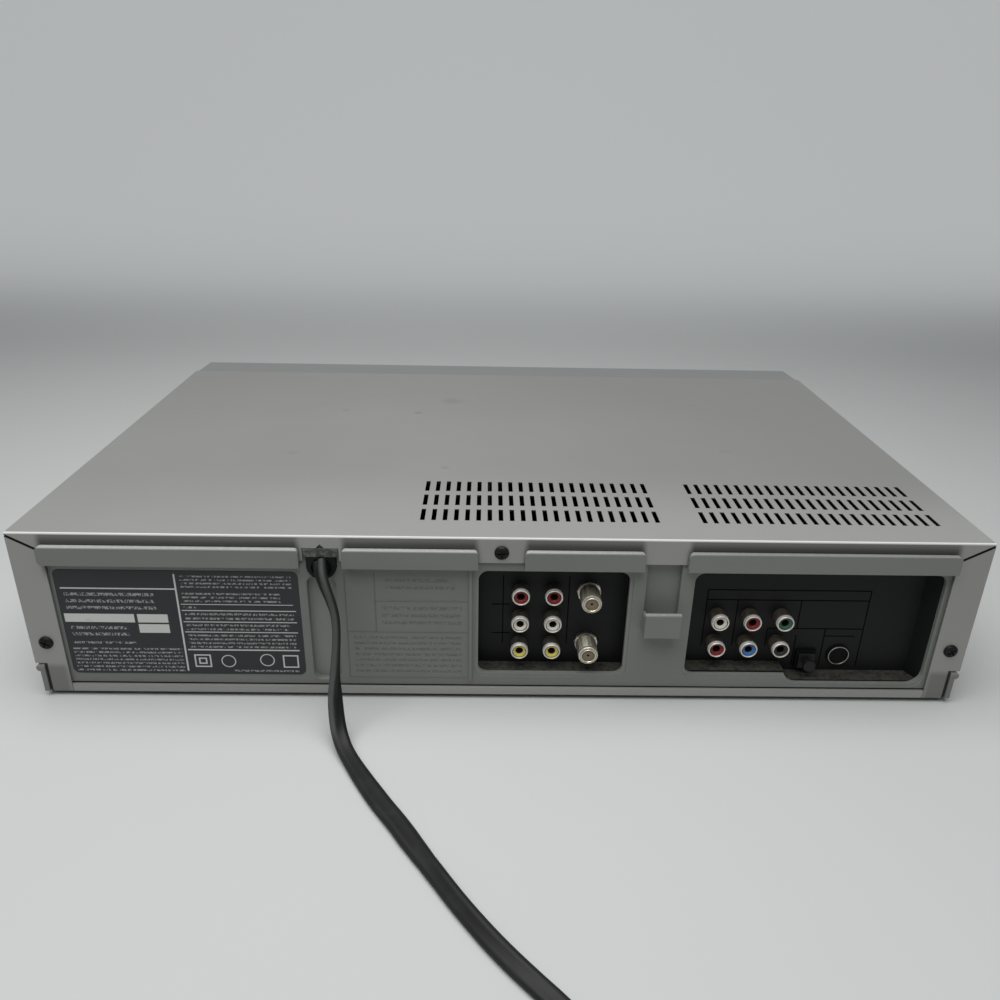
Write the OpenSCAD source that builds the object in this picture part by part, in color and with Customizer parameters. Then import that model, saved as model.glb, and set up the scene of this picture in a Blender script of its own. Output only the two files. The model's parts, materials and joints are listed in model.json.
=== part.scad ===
// Disc player and video cassette recorder in one case.
// +Z is up, the front faces -Y, the jacks face +Y, and the feet stand on z = 0.

/* [Case] */
// Width of the case
case_w = 430; // [425:1:460]
// Height of the case above the surface
case_h = 85; // [85:1:100]
// Depth of the top cover
cover_d = 258.5; // [257:0.5:290]
// Depth of the front panel
front_d = 36.3; // [36:0.1:60]
// Thickness of the cover's sheet steel
cover_t = 0.8; // [0.6:0.1:1]
// Gap between the cover's lower edge and the surface
cover_gap = 2.6; // [2:0.1:4]
// Height of the cover's folded rear lip
lip_h = 12.1; // [11:0.1:13]
// Width of the cover's rear side flanges
flange_w = 14.5; // [14:0.5:18]
// Running gap between parts that pass each other
gap = 0.3; // [0.2:0.05:0.4]

/* [Vents] */
// Length of a vent slot
slot_l = 12; // [8:0.5:14]
// Width of a vent slot
slot_w = 2.1; // [1.5:0.1:3]
// Distance between slots in a row
slot_pitch = 5.08; // [4.5:0.02:5.2]
// Slots in each row of a group
slot_count = 22; // [10:1:22]
// Distance between rows
row_pitch = 16.5; // [16:0.5:20]
// Distance from the rear face to the nearest row
row_edge = 23.6; // [20:0.1:40]

/* [Base and feet] */
// Diameter of a foot
foot_d = 24; // [16:1:30]
// Height of a foot
foot_h = 5; // [4.5:0.1:6]
// Thickness of the base pan
pan_t = 1; // [0.8:0.1:1.5]
// Height of the base pan's side walls
pan_wall = 17; // [8:1:24]
// Height of the base pan's rear strip
strip_h = 4; // [4:0.1:5.5]

/* [Rear panel] */
// Wall of the moulded rear panel
panel_t = 2.5; // [2:0.1:3]
// Depth of the panel's face behind the cover's rear face
panel_set = 1.5; // [1.2:0.1:2]
// How far the hood tabs stand out over the cover's lip
tab_out = 2.8; // [2:0.1:4]
// Height of the hood tabs
tab_h = 9; // [8.5:0.1:10]
// Depth from the panel's face to the jack plates
jack_depth = 10.5; // [10:0.1:14]
// Wall of the jack tubs
tub_t = 1.5; // [1:0.1:2]
// Corner radius of the jack openings
opening_r = 4.5; // [3:0.1:6]
// How far the J clip stands out past the cover's rear face
clip_out = 6; // [5:0.5:9]
// Depth of the cord channel
channel_d = 3.6; // [2:0.1:5]

/* [Jacks] */
// Outer radius of a phono jack shell
rca_r = 4.15; // [4:0.05:4.3]
// Wall of a phono jack shell
rca_wall = 0.75; // [0.4:0.05:0.8]
// Length of a phono jack shell
rca_l = 8; // [7:0.5:9]
// Radius of the hole in a phono jack insert
rca_hole_r = 1.5; // [1.5:0.05:1.8]
// Distance between phono jack columns
rca_pitch = 15.1; // [12:0.1:15.5]
// Distance between phono jack rows
rca_row = 14.5; // [12:0.1:15]
// Radius of an aerial connector's thread
rf_r = 4.76; // [4.6:0.01:4.8]
// Length of an aerial connector in front of its plate
rf_l = 12; // [9:0.5:12]
// Radius of the S-video socket
svideo_r = 5.5; // [5:0.1:6]
// How deep the dust plug sits in its socket
dust_stem = 5.5; // [4:0.5:6]
// Side of the optical socket's square hole
dust_w = 6; // [5.5:0.1:6.5]

/* [Front] */
// Wall of the front panel
front_t = 2.5; // [2:0.1:3]
// Drop of the front panel's top edge below the cover
front_drop = 2.4; // [2:0.1:3]
// Width of the tray's bezel
bezel_w = 141; // [138:1:150]
// Height of the tray's bezel
bezel_h = 15.6; // [15:0.1:17]
// Thickness of the cassette door
door_t = 2.5; // [2:0.1:3]
// How far the keys stand out of the front panel
key_out = 1.2; // [1:0.1:2]
// Travel of a button
button_travel = 0.8; // [0.5:0.1:1]

/* [Disc loader] */
// Radius of the disc well
well_r = 61; // [60.5:0.5:62]
// Width of the disc tray
tray_w = 132; // [130:1:136]
// Travel of the disc tray
tray_travel = 128; // [100:1:128]
// Module of the tray gear's teeth
tooth_m = 1.25; // [1.25:0.05:1.25]
// Teeth of the tray gear
gear_teeth = 16; // [16:1:16]
// Radius of the turntable
turntable_r = 14; // [12:0.5:16]
// Radius of the sled's guide rods
rod_r = 1.5; // [1:0.1:2]
// Travel of the optical sled
sled_travel = 34; // [30:1:36]

/* [Tape deck] */
// Width of a cassette
cassette_w = 188; // [187:0.5:189]
// Thickness of a cassette
cassette_h = 25; // [24:0.5:25.5]
// Sheet of the cassette holder
holder_t = 0.8; // [0.6:0.1:1]
// Depth of the cassette holder
holder_d = 60; // [50:1:64]
// Travel of the cassette holder into the machine
holder_in = 50; // [40:1:55]
// Drop of the cassette holder onto the reels
holder_drop = 17; // [12:1:17]
// Radius of the head drum
drum_r = 31; // [28:0.5:31]
// Lean of the head drum's axis
drum_tilt = 5.5; // [4:0.1:6]
// Radius of a reel table
reel_r = 17; // [15:0.5:19]
// Distance between the reels
reel_pitch = 92; // [90:1:94]
// Radius of the capstan's flywheel
flywheel_r = 24; // [20:0.5:26]
// Radius of the capstan's shaft
capstan_r = 2; // [1.5:0.1:2.5]
// Radius of the pinch roller
pinch_r = 6; // [5:0.1:6.5]
// Running clearance of a shaft in its bore
fit = 0.05; // [0.03:0.01:0.08]

/* [Cord] */
// Width of the flat cord
cord_d = 7.2; // [6:0.1:7.5]
// Radius at the middle of the coil's turns
coil_r = 36; // [36:0.5:40]
// Width of the plug's body
plug_w = 22; // [20:0.5:26]

/* [Hidden] */
$fn = 48;
e = 0.01;

// Case planes
half_w = case_w / 2;
rear_y = (cover_d + front_d + key_out - clip_out) / 2;
seam_y = rear_y - cover_d;
front_y = seam_y - front_d;
lip_y = rear_y - cover_t;
side_x = half_w - cover_t;
flange_x = half_w - flange_w;
lip_z = case_h - lip_h;
floor_z = foot_h + pan_t;
strip_top = cover_gap + strip_h;
screw_z = cover_gap + 26.7;
screw_x = half_w - 7.2;
screw_r = 1.45;
screw_head_r = 3.2;
hook_z = cover_gap + 15.4;

// Vent rows
vent_starts = [half_w - 177.8, -half_w + 123.7];
vent_rows = 3;

// Rear panel planes
face_y = rear_y - panel_set;
back_y = face_y - panel_t;
plate_y = face_y - jack_depth;
plate_t = 2;
panel_top = case_h - 3;
tab_z = lip_z - 2.4;
tab_top = tab_z + tab_h;
panel_over = 4;
screw_pad_r = 4;

// Openings in the rear panel: left, right, bottom and top edges
opening_top = tab_z - 2.7;
dvd_x0 = -flange_x + 1.7;
dvd_x1 = dvd_x0 + 113.4;
dvd_z0 = cover_gap + 6.4;
dvd_step_x = dvd_x0 + 65.8;
dvd_step_z = cover_gap + 11;
av_x0 = dvd_x1 + 29.1;
av_x1 = av_x0 + 67.7;
av_z0 = cover_gap + 10.8;
tub_over = 0.8;
tub_floor_drop = 0.5;
dvd_floor_rise = 0.7;
dvd_draft = 3.6;

// Jack places: aerial, audio and video group, then the disc group
av_jack_x = av_x1 - 19.3;
av_jack_z = cover_gap + 21.2;
dvd_jack_x = dvd_x1 - 15;
dvd_jack_z = cover_gap + 23.1;
front_jack_x = half_w - 47;
front_jack_z = 26;
rf_x = av_x0 + 16.6;
rf_z = [cover_gap + 21.8, cover_gap + 49.3];
svideo_x = dvd_x0 + 37.3;
svideo_z = cover_gap + 16.1;
optical_x = dvd_x0 + 53.3;
optical_z = cover_gap + 14.3;
optical_w = 9.6;
knob_r = 2.9;

// Cord outlet
gland_x = flange_x - 120.1;
gland_r = 6.7;
gland_z = opening_top + 2.5;
gland_top = lip_z + 2;
notch_top = lip_z + 6.2;
notch_half = gland_r + 1.3;
channel_z0 = cover_gap + 6.4;
channel_x0 = gland_x - 5.6;
channel_x1 = gland_x + 7.4;
channel_z1 = gland_z - gland_r + 1;
gland_y = face_y - channel_d - 2;

// Hanging channel with its J clip
clip_x0 = dvd_x1 + 6.1;
clip_x1 = clip_x0 + 16.1;
clip_z0 = cover_gap + 35.9;
clip_z1 = cover_gap + 47.8;
clip_t = 2;
hang_d = 3;

// Hood tabs between the clip, the cover's lip screw and the cord, and the label under the first
lip_screw = [av_x1 - 10, 0, case_h - 7];
tabs = [[gland_x + 9.2, flange_x + 1.5], [lip_screw.x + 10.2, gland_x - 9.4],
    [clip_x1 + 1.7, lip_screw.x - 10.2], [-flange_x, clip_x0 - 1.4]];
label_x0 = gland_x + 11;
rib_x = av_x1 + 2.8;

// Front panel places
front_in = front_y + front_t;
front_top = case_h - front_drop;
seam_top = case_h - cover_t - gap;
bezel_x = -half_w + 85;
bezel_z = case_h - 30;
door_x = half_w - 110;
door_w = cassette_w + 7;
door_z0 = case_h - 36.7;
door_h = cassette_h + 2.6;
door_y = front_in + gap;
door_pin_r = 1.2;
window_x = door_x - 107;
window_w = 120;
window_z = 15;
window_h = 24;
window_t = 1.5;
board_t = 1.6;
front_board_y = front_in + 7.5;
switch_h = 2.2;
stem_y = front_board_y - switch_h - button_travel - gap;
front_board_top = door_z0 - 4.3;
post_z = front_board_top - 8;

// Disc loader planes
loader_x0 = bezel_x - 80;
loader_x1 = bezel_x + 80;
loader_y0 = seam_y + 3.5;
loader_y1 = loader_y0 + 170;
loader_z = bezel_z - 19;
loader_t = 2;
motor_top = loader_z + 14;
rail_x = tray_w / 2 + gap;
rail_top = bezel_z + 18;
tray_z = bezel_z + 5;
tray_h = 7.5;
rack_z = bezel_z;
well_y = seam_y + 43.5;
slot_half = turntable_r + 5;
tray_y0 = front_in + 0.5;
tray_y1 = well_y + 80;
rack_w = 6;
tooth_pitch = PI * tooth_m;
gear_r = tooth_m * gear_teeth / 2;
tooth_tip = 0.96 * tooth_m;
tooth_root = 1.12 * tooth_m;
rack_line_x = bezel_x - tray_w / 2 + rack_w + tooth_root;
gear_x = rack_line_x + gear_r;
gear_y = seam_y + 13.5;
runner_y1 = gear_y + tray_travel + 4;
hub_r = 7.3;
clamp_r = 15;
rod_x = turntable_r + 8;
rod_z = loader_z + 10;
sled_z = loader_z + 4;
sled_y = well_y + 24;

// Tape deck planes
reel_hub_h = 5;
deck_x = door_x;
deck_w = cassette_w + 12;
deck_y0 = seam_y + 8.5;
deck_y1 = deck_y0 + 167;
deck_t = 1.5;
deck_z = door_z0 + 0.2 - holder_drop - reel_hub_h - 1 - deck_t;
deck_top = deck_z + deck_t;
holder_half = cassette_w / 2 + 0.8;
holder_z = door_z0 + 0.2;
holder_in_h = cassette_h + 0.8 + holder_t;
holder_out = holder_half + holder_t;
guide_half = holder_out + gap;
guide_t = 1.2;
frame_half = guide_half + guide_t + gap;
frame_t = 1.2;
frame_top = holder_z + holder_in_h + holder_t + 3.9;
frame_y0 = deck_y0;
frame_l = holder_in + holder_d + 3;
holder_y = seam_y + 5.5;
reel_y = seam_y + 83.5;
drum_x = deck_x;
drum_y = deck_y1 - 32;
drum_low = 3.5;
drum_split = 14;
drum_top = 27;
capstan_x = deck_x + 48;
capstan_y = deck_y1 - 48;
flywheel_h = 5;
flywheel_z = deck_z - 4 - flywheel_h;
pinch_x = capstan_x + 26;
pinch_y = capstan_y + 10;
pinch_arm_l = 20;
pinch_rest = 159.5;

// Boards
main_x0 = 9 - half_w;
main_x1 = deck_x - deck_w / 2 + 1;
main_y0 = seam_y + 133.5;
main_y1 = plate_y - plate_t - 0.5;
main_z = optical_z - optical_w / 2 - board_t;
power_x1 = half_w - 9;
power_x0 = power_x1 - 182;
power_y0 = deck_y1 + 6;
power_y1 = plate_y - 5;
board_top = main_z + board_t;
tuner_x0 = rf_x - 12;
tuner_x1 = rf_x + 12;

// Cord route, from its outlet to the coil
route = [
    [81, 145.2, 73], [80, 149, 69.5], [78, 152, 64.5], [75.5, 154.5, 59], [73.5, 156.5, 52],
    [73, 159, 43], [73.4, 162, 34], [73.6, 166, 25], [73.2, 171, 17], [72, 177, 10],
    [69.6, 184, 5.8], [66, 192.2, 4.4], [58.1, 203.7, 4], [50.2, 214.7, 4], [42.4, 225, 4],
    [35.6, 234.8, 4], [29.4, 244, 4], [23.6, 252.8, 4], [17.9, 261.1, 4], [12.2, 269, 4],
    [6.4, 276.6, 4], [0.1, 283.8, 4], [-6.6, 290.6, 4], [-13.4, 297.2, 4], [-21, 304.5, 4],
    [-29.4, 312.5, 4], [-37.8, 320.5, 4], [-46.2, 328.5, 4], [-54.2, 336.2, 4]
];
coil_at = [-26, 364];
coil_w = 2 * cord_d + 1;
coil_h = 12;
cord_sides = 10;

// Block between two corners
module block(x0, x1, y0, y1, z0, z1)
    translate([x0, y0, z0]) cube([x1 - x0, y1 - y0, z1 - z0]);

// Round post along Z
module post(x, y, r, z0, z1)
    translate([x, y, z0]) cylinder(r = r, h = z1 - z0);

// Round bar along Y
module bar_y(x, z, r, y0, y1)
    translate([x, y0, z]) rotate([-90, 0, 0]) cylinder(r = r, h = y1 - y0);

// Round bar along X
module bar_x(y, z, r, x0, x1)
    translate([x0, y, z]) rotate([0, 90, 0]) cylinder(r = r, h = x1 - x0);

// The children on both sides of x = at
module both_sides(at = 0)
    for (s = [0, 1])
        translate([at, 0, 0]) mirror([s, 0, 0]) children();

// Flat shape with round corners, in the XZ plane, between y0 and y1
module round_plate(x0, x1, z0, z1, y0, y1, r)
    union() {
        block(x0 + r, x1 - r, y0, y1, z0, z1);
        block(x0, x1, y0, y1, z0 + r, z1 - r);
        for (x = [x0 + r, x1 - r], z = [z0 + r, z1 - r])
            bar_y(x, z, r, y0, y1);
    }

// Folded cover

module vent_slots()
    for (x0 = vent_starts, row = [0 : vent_rows - 1], i = [0 : slot_count - 1])
        translate([x0 - i * slot_pitch, rear_y - row_edge - row * row_pitch, case_h - cover_t / 2])
            cube([slot_w, slot_l, 2 * cover_t], center = true);

// Cut line of the mitred rear corner
module mitre_cut()
    translate([flange_x, lip_y - e, lip_z + 2.5])
        rotate([0, -atan2(8, flange_w), 0])
            cube([flange_w * 1.4, cover_t + 2 * e, 0.5]);

module top_cover() {
    color("#a9a8a6") difference() {
        union() {
            block(-half_w, half_w, seam_y, rear_y, case_h - cover_t, case_h);
            block(-half_w, half_w, lip_y, rear_y, lip_z, case_h - e);
            both_sides() {
                block(side_x, half_w, seam_y, rear_y, cover_gap, case_h - e);
                block(flange_x, half_w - e, lip_y, rear_y, cover_gap, case_h - e);
            }
        }
        vent_slots();
        both_sides() {
            mitre_cut();
            bar_y(screw_x, screw_z, screw_r + 0.25, lip_y - 1, rear_y + 1);
            block(half_w - 4.5, half_w + 1, rear_y - 6, rear_y + 1, cover_gap - 1, hook_z);
        }
        bar_y(lip_screw.x, lip_screw.z, screw_r + 0.25, lip_y - 1, rear_y + 1);
        block(gland_x - notch_half, gland_x + notch_half, lip_y - 1, rear_y + 1,
            lip_z - 1, notch_top);
        translate([gland_x, lip_y - 1, notch_top - 1.4])
            rotate([0, -45, 0]) cube([2.4, cover_t + 2, 2.4]);
    }
}

// Base and feet

module standoffs(xs, ys)
    for (x = xs, y = ys)
        post(x, y, 3, floor_z - e, main_z);

module chassis_base() {
    color("#8d8f8e") {
        difference() {
            union() {
                block(-side_x + gap, side_x - gap, seam_y, lip_y - 0.1, foot_h, floor_z);
                block(-flange_x + 0.2, flange_x - 0.2, lip_y - 0.2, rear_y, cover_gap, strip_top);
                block(-flange_x + 0.2, flange_x - 0.2, seam_y, seam_y + pan_t, foot_h, floor_z + 9);
                both_sides() {
                    block(side_x - gap - pan_t, side_x - gap, seam_y, lip_y - 0.1,
                        foot_h, foot_h + pan_wall);
                    block(flange_x + panel_over + gap, side_x - gap, lip_y - 1.2, lip_y,
                        foot_h, screw_z + 6);
                    rear_hook();
                }
                standoffs([main_x0 + 8, (main_x0 + main_x1) / 2, main_x1 - 8],
                    [main_y0 + 8, main_y1 - 8]);
                standoffs([power_x0 + 6, power_x1 - 6], [power_y0 + 6, power_y1 - 6]);
            }
            both_sides()
                bar_y(screw_x, screw_z, screw_r + fit, lip_y - 3, lip_y + 1);
        }
    }
}

// Lug and bar that show at a lower rear corner
module rear_hook() {
    block(half_w - 4.2, half_w - 1.9, lip_y - 3, rear_y + 0.8, cover_gap + 0.4, hook_z - 0.6);
    bar_y(half_w - 1.9, hook_z - 2.3, 1.7, lip_y - 2, rear_y + 0.8);
}

module feet() {
    color("#1b1b1c")
        for (x = [40 - half_w, half_w - 40], y = [seam_y + 18, rear_y - 32])
            difference() {
                post(x, y, foot_d / 2, 0, foot_h);
                post(x, y, foot_d / 2 - 4, -1, 1.5);
            }
}

module cover_screw()
    union() {
        bar_y(0, 0, screw_head_r, 0, 1.5);
        bar_y(0, 0, screw_r, -7, e);
    }

module cover_screws() {
    color("#161616") {
        both_sides()
            translate([screw_x, rear_y, screw_z]) cover_screw();
        translate([lip_screw.x, rear_y, lip_screw.z]) cover_screw();
    }
}

// Rear panel

module hood_tab(x0, x1) {
    round_plate(x0, x1, tab_z, tab_top, rear_y + gap, rear_y + tab_out, 2);
    block(max(x0, -flange_x), min(x1, flange_x), face_y - 1, rear_y + tab_out, tab_z, lip_z - 0.4);
}

module av_opening(y0, y1, grow = 0)
    round_plate(av_x0 - grow, av_x1 + grow, av_z0 - grow, opening_top + grow / 4, y0, y1, opening_r);

module dvd_opening(y0, y1, grow = 0) {
    round_plate(dvd_x0 - grow, dvd_x1 + grow, dvd_step_z - grow, opening_top + grow / 4,
        y0, y1, opening_r);
    round_plate(dvd_x0 - grow, dvd_step_x + grow, dvd_z0 - grow, opening_top + grow / 4,
        y0, y1, opening_r + 2.5);
}

// Half round below, flat on top
module gland_hole(y0, y1, r)
    difference() {
        union() {
            bar_y(gland_x, gland_z, r, y0, y1);
            block(gland_x - r, gland_x + r, y0, y1, gland_z, gland_z + r + 1);
        }
        block(gland_x - r - 1, gland_x + r + 1, y0 - 1, y1 + 1, gland_top, gland_z + r + 2);
    }

module j_clip() {
    block(clip_x0, clip_x1, back_y, rear_y + clip_out, clip_z0, clip_z0 + clip_t);
    block(clip_x0, clip_x1, rear_y + clip_out - clip_t, rear_y + clip_out, clip_z0, clip_z1);
    block(clip_x1 - 1.3, clip_x1, face_y - 1, rear_y + clip_out - clip_t, clip_z0, clip_z1 - 2.6);
}

module rear_panel() {
    color("#7c7f80") difference() {
        union() {
            block(-flange_x - panel_over, flange_x + panel_over, back_y, face_y, strip_top + 0.4, panel_top);
            block(-flange_x, flange_x, back_y, back_y + 1.5, floor_z, strip_top + 0.5);
            for (t = tabs) hood_tab(t[0], t[1]);
            block(gland_x - gland_r - 2, gland_x + gland_r + 2, gland_y, back_y + e,
                channel_z0 - 1, channel_z1 + 2);
            block(clip_x0 - 1.2, clip_x1 + 1.2, face_y - hang_d - 2, back_y + e, clip_z0, panel_top);
            bar_y(lip_screw.x, lip_screw.z, screw_pad_r, back_y - 8, lip_y);
            block(rib_x, rib_x + 1.4, face_y - e, face_y + 0.8, strip_top + 3, tab_z + e);
            block(gland_x - notch_half + gap, gland_x + notch_half - gap, face_y - e, rear_y + gap,
                gland_top + 0.1, notch_top - gap);
        }
        av_opening(back_y - 1, face_y + 1);
        dvd_opening(back_y - 1, face_y + 1);
        av_opening(face_y - 0.5, face_y + 0.9, 1.6);
        dvd_opening(face_y - 0.5, face_y + 1, 1.2);
        gland_hole(gland_y - 1, face_y + 1, gland_r);
        round_plate(channel_x0, channel_x1, channel_z0, channel_z1, face_y - channel_d, face_y + 1, 4);
        block(clip_x0 + 0.3, clip_x1 - 0.3, face_y - hang_d, face_y + 0.1, clip_z0 + clip_t, panel_top + 1);
        bar_y(lip_screw.x, lip_screw.z, screw_r + fit, back_y - 9, lip_y + 1);
    }
    color("#7c7f80") j_clip();
}

module rating_label() {
    color("#23262d")
        round_plate(label_x0, flange_x - 1.5, cover_gap + 9.3, tab_z - 3.9, face_y, face_y + 0.2, 3);
}

// Jack plates

// Tub behind an opening: outer block, inner space, and a floor
module tub(x0, x1, z0, z1)
    difference() {
        block(x0 - tub_t, x1 + tub_t, plate_y - plate_t, back_y, z0 - tub_t, z1 + tub_t);
        block(x0, x1, plate_y, back_y + 1, z0, z1);
    }

module av_jack_plate() {
    color("#141414") difference() {
        tub(av_x0 - tub_over, av_x1 + tub_over, av_z0 - tub_floor_drop, opening_top + tub_over);
        for (z = rf_z) bar_y(rf_x, z, 5.6, plate_y - 3, plate_y + 1);
    }
}

module dvd_jack_plate() {
    color("#141414") difference() {
        union() {
            tub(dvd_x0, dvd_x1 + tub_over, dvd_z0 + dvd_floor_rise, opening_top + tub_over);
            block(dvd_step_x - 0.5, dvd_x1 + tub_over + e, plate_y - e, back_y, dvd_z0,
                dvd_step_z + 1);
            translate([dvd_x0 - e, 0, dvd_z0])
                linear_extrude(opening_top - dvd_z0 + tub_over + 0.5)
                    polygon([[0, plate_y - e], [dvd_draft, plate_y - e], [0, back_y]]);
        }
        block(optical_x - optical_w / 2 - 0.1, optical_x + optical_w / 2 + 0.1,
            plate_y - 3, plate_y + 1, optical_z - optical_w / 2 - 0.1, optical_z + optical_w / 2 + 0.1);
    }
}

// Jacks: [column, row] places of each colour in the two rear groups and at the front
av_red = [[0, 2], [1, 2]];
av_white = [[0, 1], [1, 1]];
av_yellow = [[0, 0], [1, 0]];
dvd_red = [[0, 0], [1, 1]];
dvd_white = [[0, 1]];
dvd_green = [[2, 1]];
dvd_blue = [[1, 0]];
dvd_black = [[2, 0]];

module av_places(list)
    for (p = list)
        translate([av_jack_x - p[0] * rca_pitch, plate_y, av_jack_z + p[1] * rca_row]) children();

module dvd_places(list)
    for (p = list)
        translate([dvd_jack_x - p[0] * rca_pitch, plate_y, dvd_jack_z + p[1] * rca_row]) children();

module front_place(i)
    translate([front_jack_x + i * rca_pitch, front_board_y, front_jack_z]) mirror([0, 1, 0]) children();

front_jack_l = front_board_y - front_y + 0.5;

module rca_shell(l)
    difference() {
        union() {
            bar_y(0, 0, rca_r, 0, l);
            bar_y(0, 0, rca_r + 0.5, 0, 1);
        }
        bar_y(0, 0, rca_r - rca_wall, -1, l + 1);
    }

module rca_insert(l)
    difference() {
        bar_y(0, 0, rca_r - rca_wall - fit, 0, l - 0.5);
        bar_y(0, 0, rca_hole_r, l - 7.5, l);
    }

module rca_shells() {
    color("#b9b8b4") {
        av_places(concat(av_red, av_white, av_yellow)) rca_shell(rca_l);
        dvd_places(concat(dvd_red, dvd_white, dvd_green, dvd_blue, dvd_black)) rca_shell(rca_l);
        for (i = [0 : 2]) front_place(i) rca_shell(front_jack_l);
    }
}

module rca_inserts_red() {
    color("#9c2a33") {
        av_places(av_red) rca_insert(rca_l);
        dvd_places(dvd_red) rca_insert(rca_l);
        front_place(2) rca_insert(front_jack_l);
    }
}

module rca_inserts_white() {
    color("#dcd9cf") {
        av_places(av_white) rca_insert(rca_l);
        dvd_places(dvd_white) rca_insert(rca_l);
        front_place(1) rca_insert(front_jack_l);
    }
}

module rca_inserts_yellow() {
    color("#d3b13a") {
        av_places(av_yellow) rca_insert(rca_l);
        front_place(0) rca_insert(front_jack_l);
    }
}

module rca_insert_green() { color("#2f6b4f") dvd_places(dvd_green) rca_insert(rca_l); }

module rca_insert_blue() { color("#3b6fb8") dvd_places(dvd_blue) rca_insert(rca_l); }

module rca_insert_black() { color("#1c1a18") dvd_places(dvd_black) rca_insert(rca_l); }

module rf_connectors() {
    color("#b6b1a6")
        for (z = rf_z)
            difference() {
                union() {
                    bar_y(rf_x, z, rf_r, plate_y - plate_t - gap, plate_y + rf_l);
                    bar_y(rf_x, z, 5.4, plate_y - plate_t - gap, plate_y + 1.2);
                }
                bar_y(rf_x, z, rf_r - 1, plate_y + rf_l - 1, plate_y + rf_l + 1);
                bar_y(rf_x, z, 0.6, plate_y + 2, plate_y + rf_l);
            }
}

module svideo_socket() {
    color("#201f1e") difference() {
        union() {
            bar_y(svideo_x, svideo_z, svideo_r, plate_y, plate_y + 1.2);
        }
        bar_y(svideo_x, svideo_z, svideo_r - 1, plate_y + 0.5, plate_y + 2);
        for (p = [[-1.7, 1], [1.7, 1], [-2.4, -0.8], [2.4, -0.8]])
            bar_y(svideo_x + p[0], svideo_z + p[1], 0.5, plate_y + 0.1, plate_y + 1);
    }
}

module optical_socket() {
    color("#18181a") difference() {
        block(optical_x - optical_w / 2, optical_x + optical_w / 2, plate_y - 8, plate_y + 2,
            optical_z - optical_w / 2, optical_z + optical_w / 2);
        block(optical_x - dust_w / 2, optical_x + dust_w / 2, plate_y - 7, plate_y + 3,
            optical_z - dust_w / 2, optical_z + dust_w / 2);
    }
}

module optical_dust_plug() {
    color("#101012") union() {
        block(optical_x - dust_w / 2 + 0.15, optical_x + dust_w / 2 - 0.15, plate_y - dust_stem,
            plate_y + 2.4,
            optical_z - dust_w / 2 + 0.15, optical_z + dust_w / 2 - 0.15);
        block(optical_x - 3.9, optical_x + 3.9, plate_y + 2 + gap, plate_y + 3.6, optical_z - 3.9,
            optical_z + 3.9);
        bar_y(optical_x, optical_z, 1.2, plate_y + 3.5, plate_y + 6.1);
        bar_y(optical_x, optical_z, knob_r, plate_y + 6, plate_y + 8);
    }
}

// Strain relief: a plug in the outlet with two flaps and a taper around the cord inside

module strain_relief() {
    color("#1a1918") difference() {
        union() {
            gland_hole(gland_y - 1, rear_y + 0.2, gland_r - 0.2);
            gland_hole(gland_y - 3, gland_y, gland_r + 1.6);
            translate([gland_x, gland_y - 2.9, gland_z]) rotate([90, 0, 0])
                cylinder(r1 = gland_r - 0.5, r2 = cord_d / 2 + 0.6, h = 24);
        }
        bar_y(gland_x, gland_z - 0.7, gland_r - 2.2, face_y, rear_y + 1);
        block(gland_x - 0.6, gland_x + 0.6, face_y, rear_y + 1, gland_z, gland_top + 1);
    }
}

// Power cord

function unit(v) = v / norm(v);
function heading(p, i) = unit(p[min(i + 1, len(p) - 1)] - p[max(i - 1, 0)]);

// Tube of round rings along a list of points
module swept_tube(p, r, sides) {
    rings = [for (i = [0 : len(p) - 1])
        let (t = heading(p, i), a = unit(cross(t, [1, 0, 0])), b = cross(t, a))
            for (k = [0 : sides - 1])
                let (w = 360 * k / sides) p[i] + r * (cos(w) * a + sin(w) * b)];
    last = (len(p) - 1) * sides;
    walls = [for (i = [0 : len(p) - 2], k = [0 : sides - 1])
        let (n = (k + 1) % sides, q = i * sides)
            [q + k, q + n, q + sides + n, q + sides + k]];
    ends = [[for (k = [0 : sides - 1]) sides - 1 - k], [for (k = [0 : sides - 1]) last + k]];
    polyhedron(rings, concat(walls, ends));
}

module power_cord() { color("#19191b") swept_tube(route, cord_d / 2, cord_sides); }

module power_cord_coil() {
    color("#19191b") translate(coil_at)
        rotate_extrude($fn = 96) translate([coil_r - coil_w / 2, 0]) square([coil_w, coil_h]);
}

module power_plug() {
    x = coil_at.x - coil_r;
    y = coil_at.y - 2;
    plug_l = 28;
    plug_h = 13;
    blade_w = 6.4;
    mid_z = coil_h + plug_h / 2;
    color("#19191b") union() {
        block(x - plug_w / 2, x + plug_w / 2, y, y + plug_l, coil_h, coil_h + plug_h);
        block(x - cord_d, x + cord_d, y - plug_l / 2, y + e, coil_h + 2, coil_h + plug_h - 2);
        for (s = [-6.35, 6.35])
            block(x + s - 0.75, x + s + 0.75, y + plug_l - e, y + plug_l + 17,
                mid_z - blade_w / 2, mid_z + blade_w / 2);
    }
}

// Front panel

// Outline of the front panel's section, in Y and Z, drawn in by a wall
module front_section(wall)
    union() {
        r = 4 - wall / 2;
        y0 = front_y + wall;
        z0 = cover_gap + wall;
        polygon([[y0 + r, z0], [seam_y + e, z0], [seam_y + e, seam_top - wall],
            [y0 + r, front_top - wall]]);
        translate([y0, z0 + r]) square([r + e, front_top - z0 - wall - 2 * r]);
        translate([y0 + r, front_top - wall - r]) circle(r);
        translate([y0 + r, z0 + r]) circle(r);
    }

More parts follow.
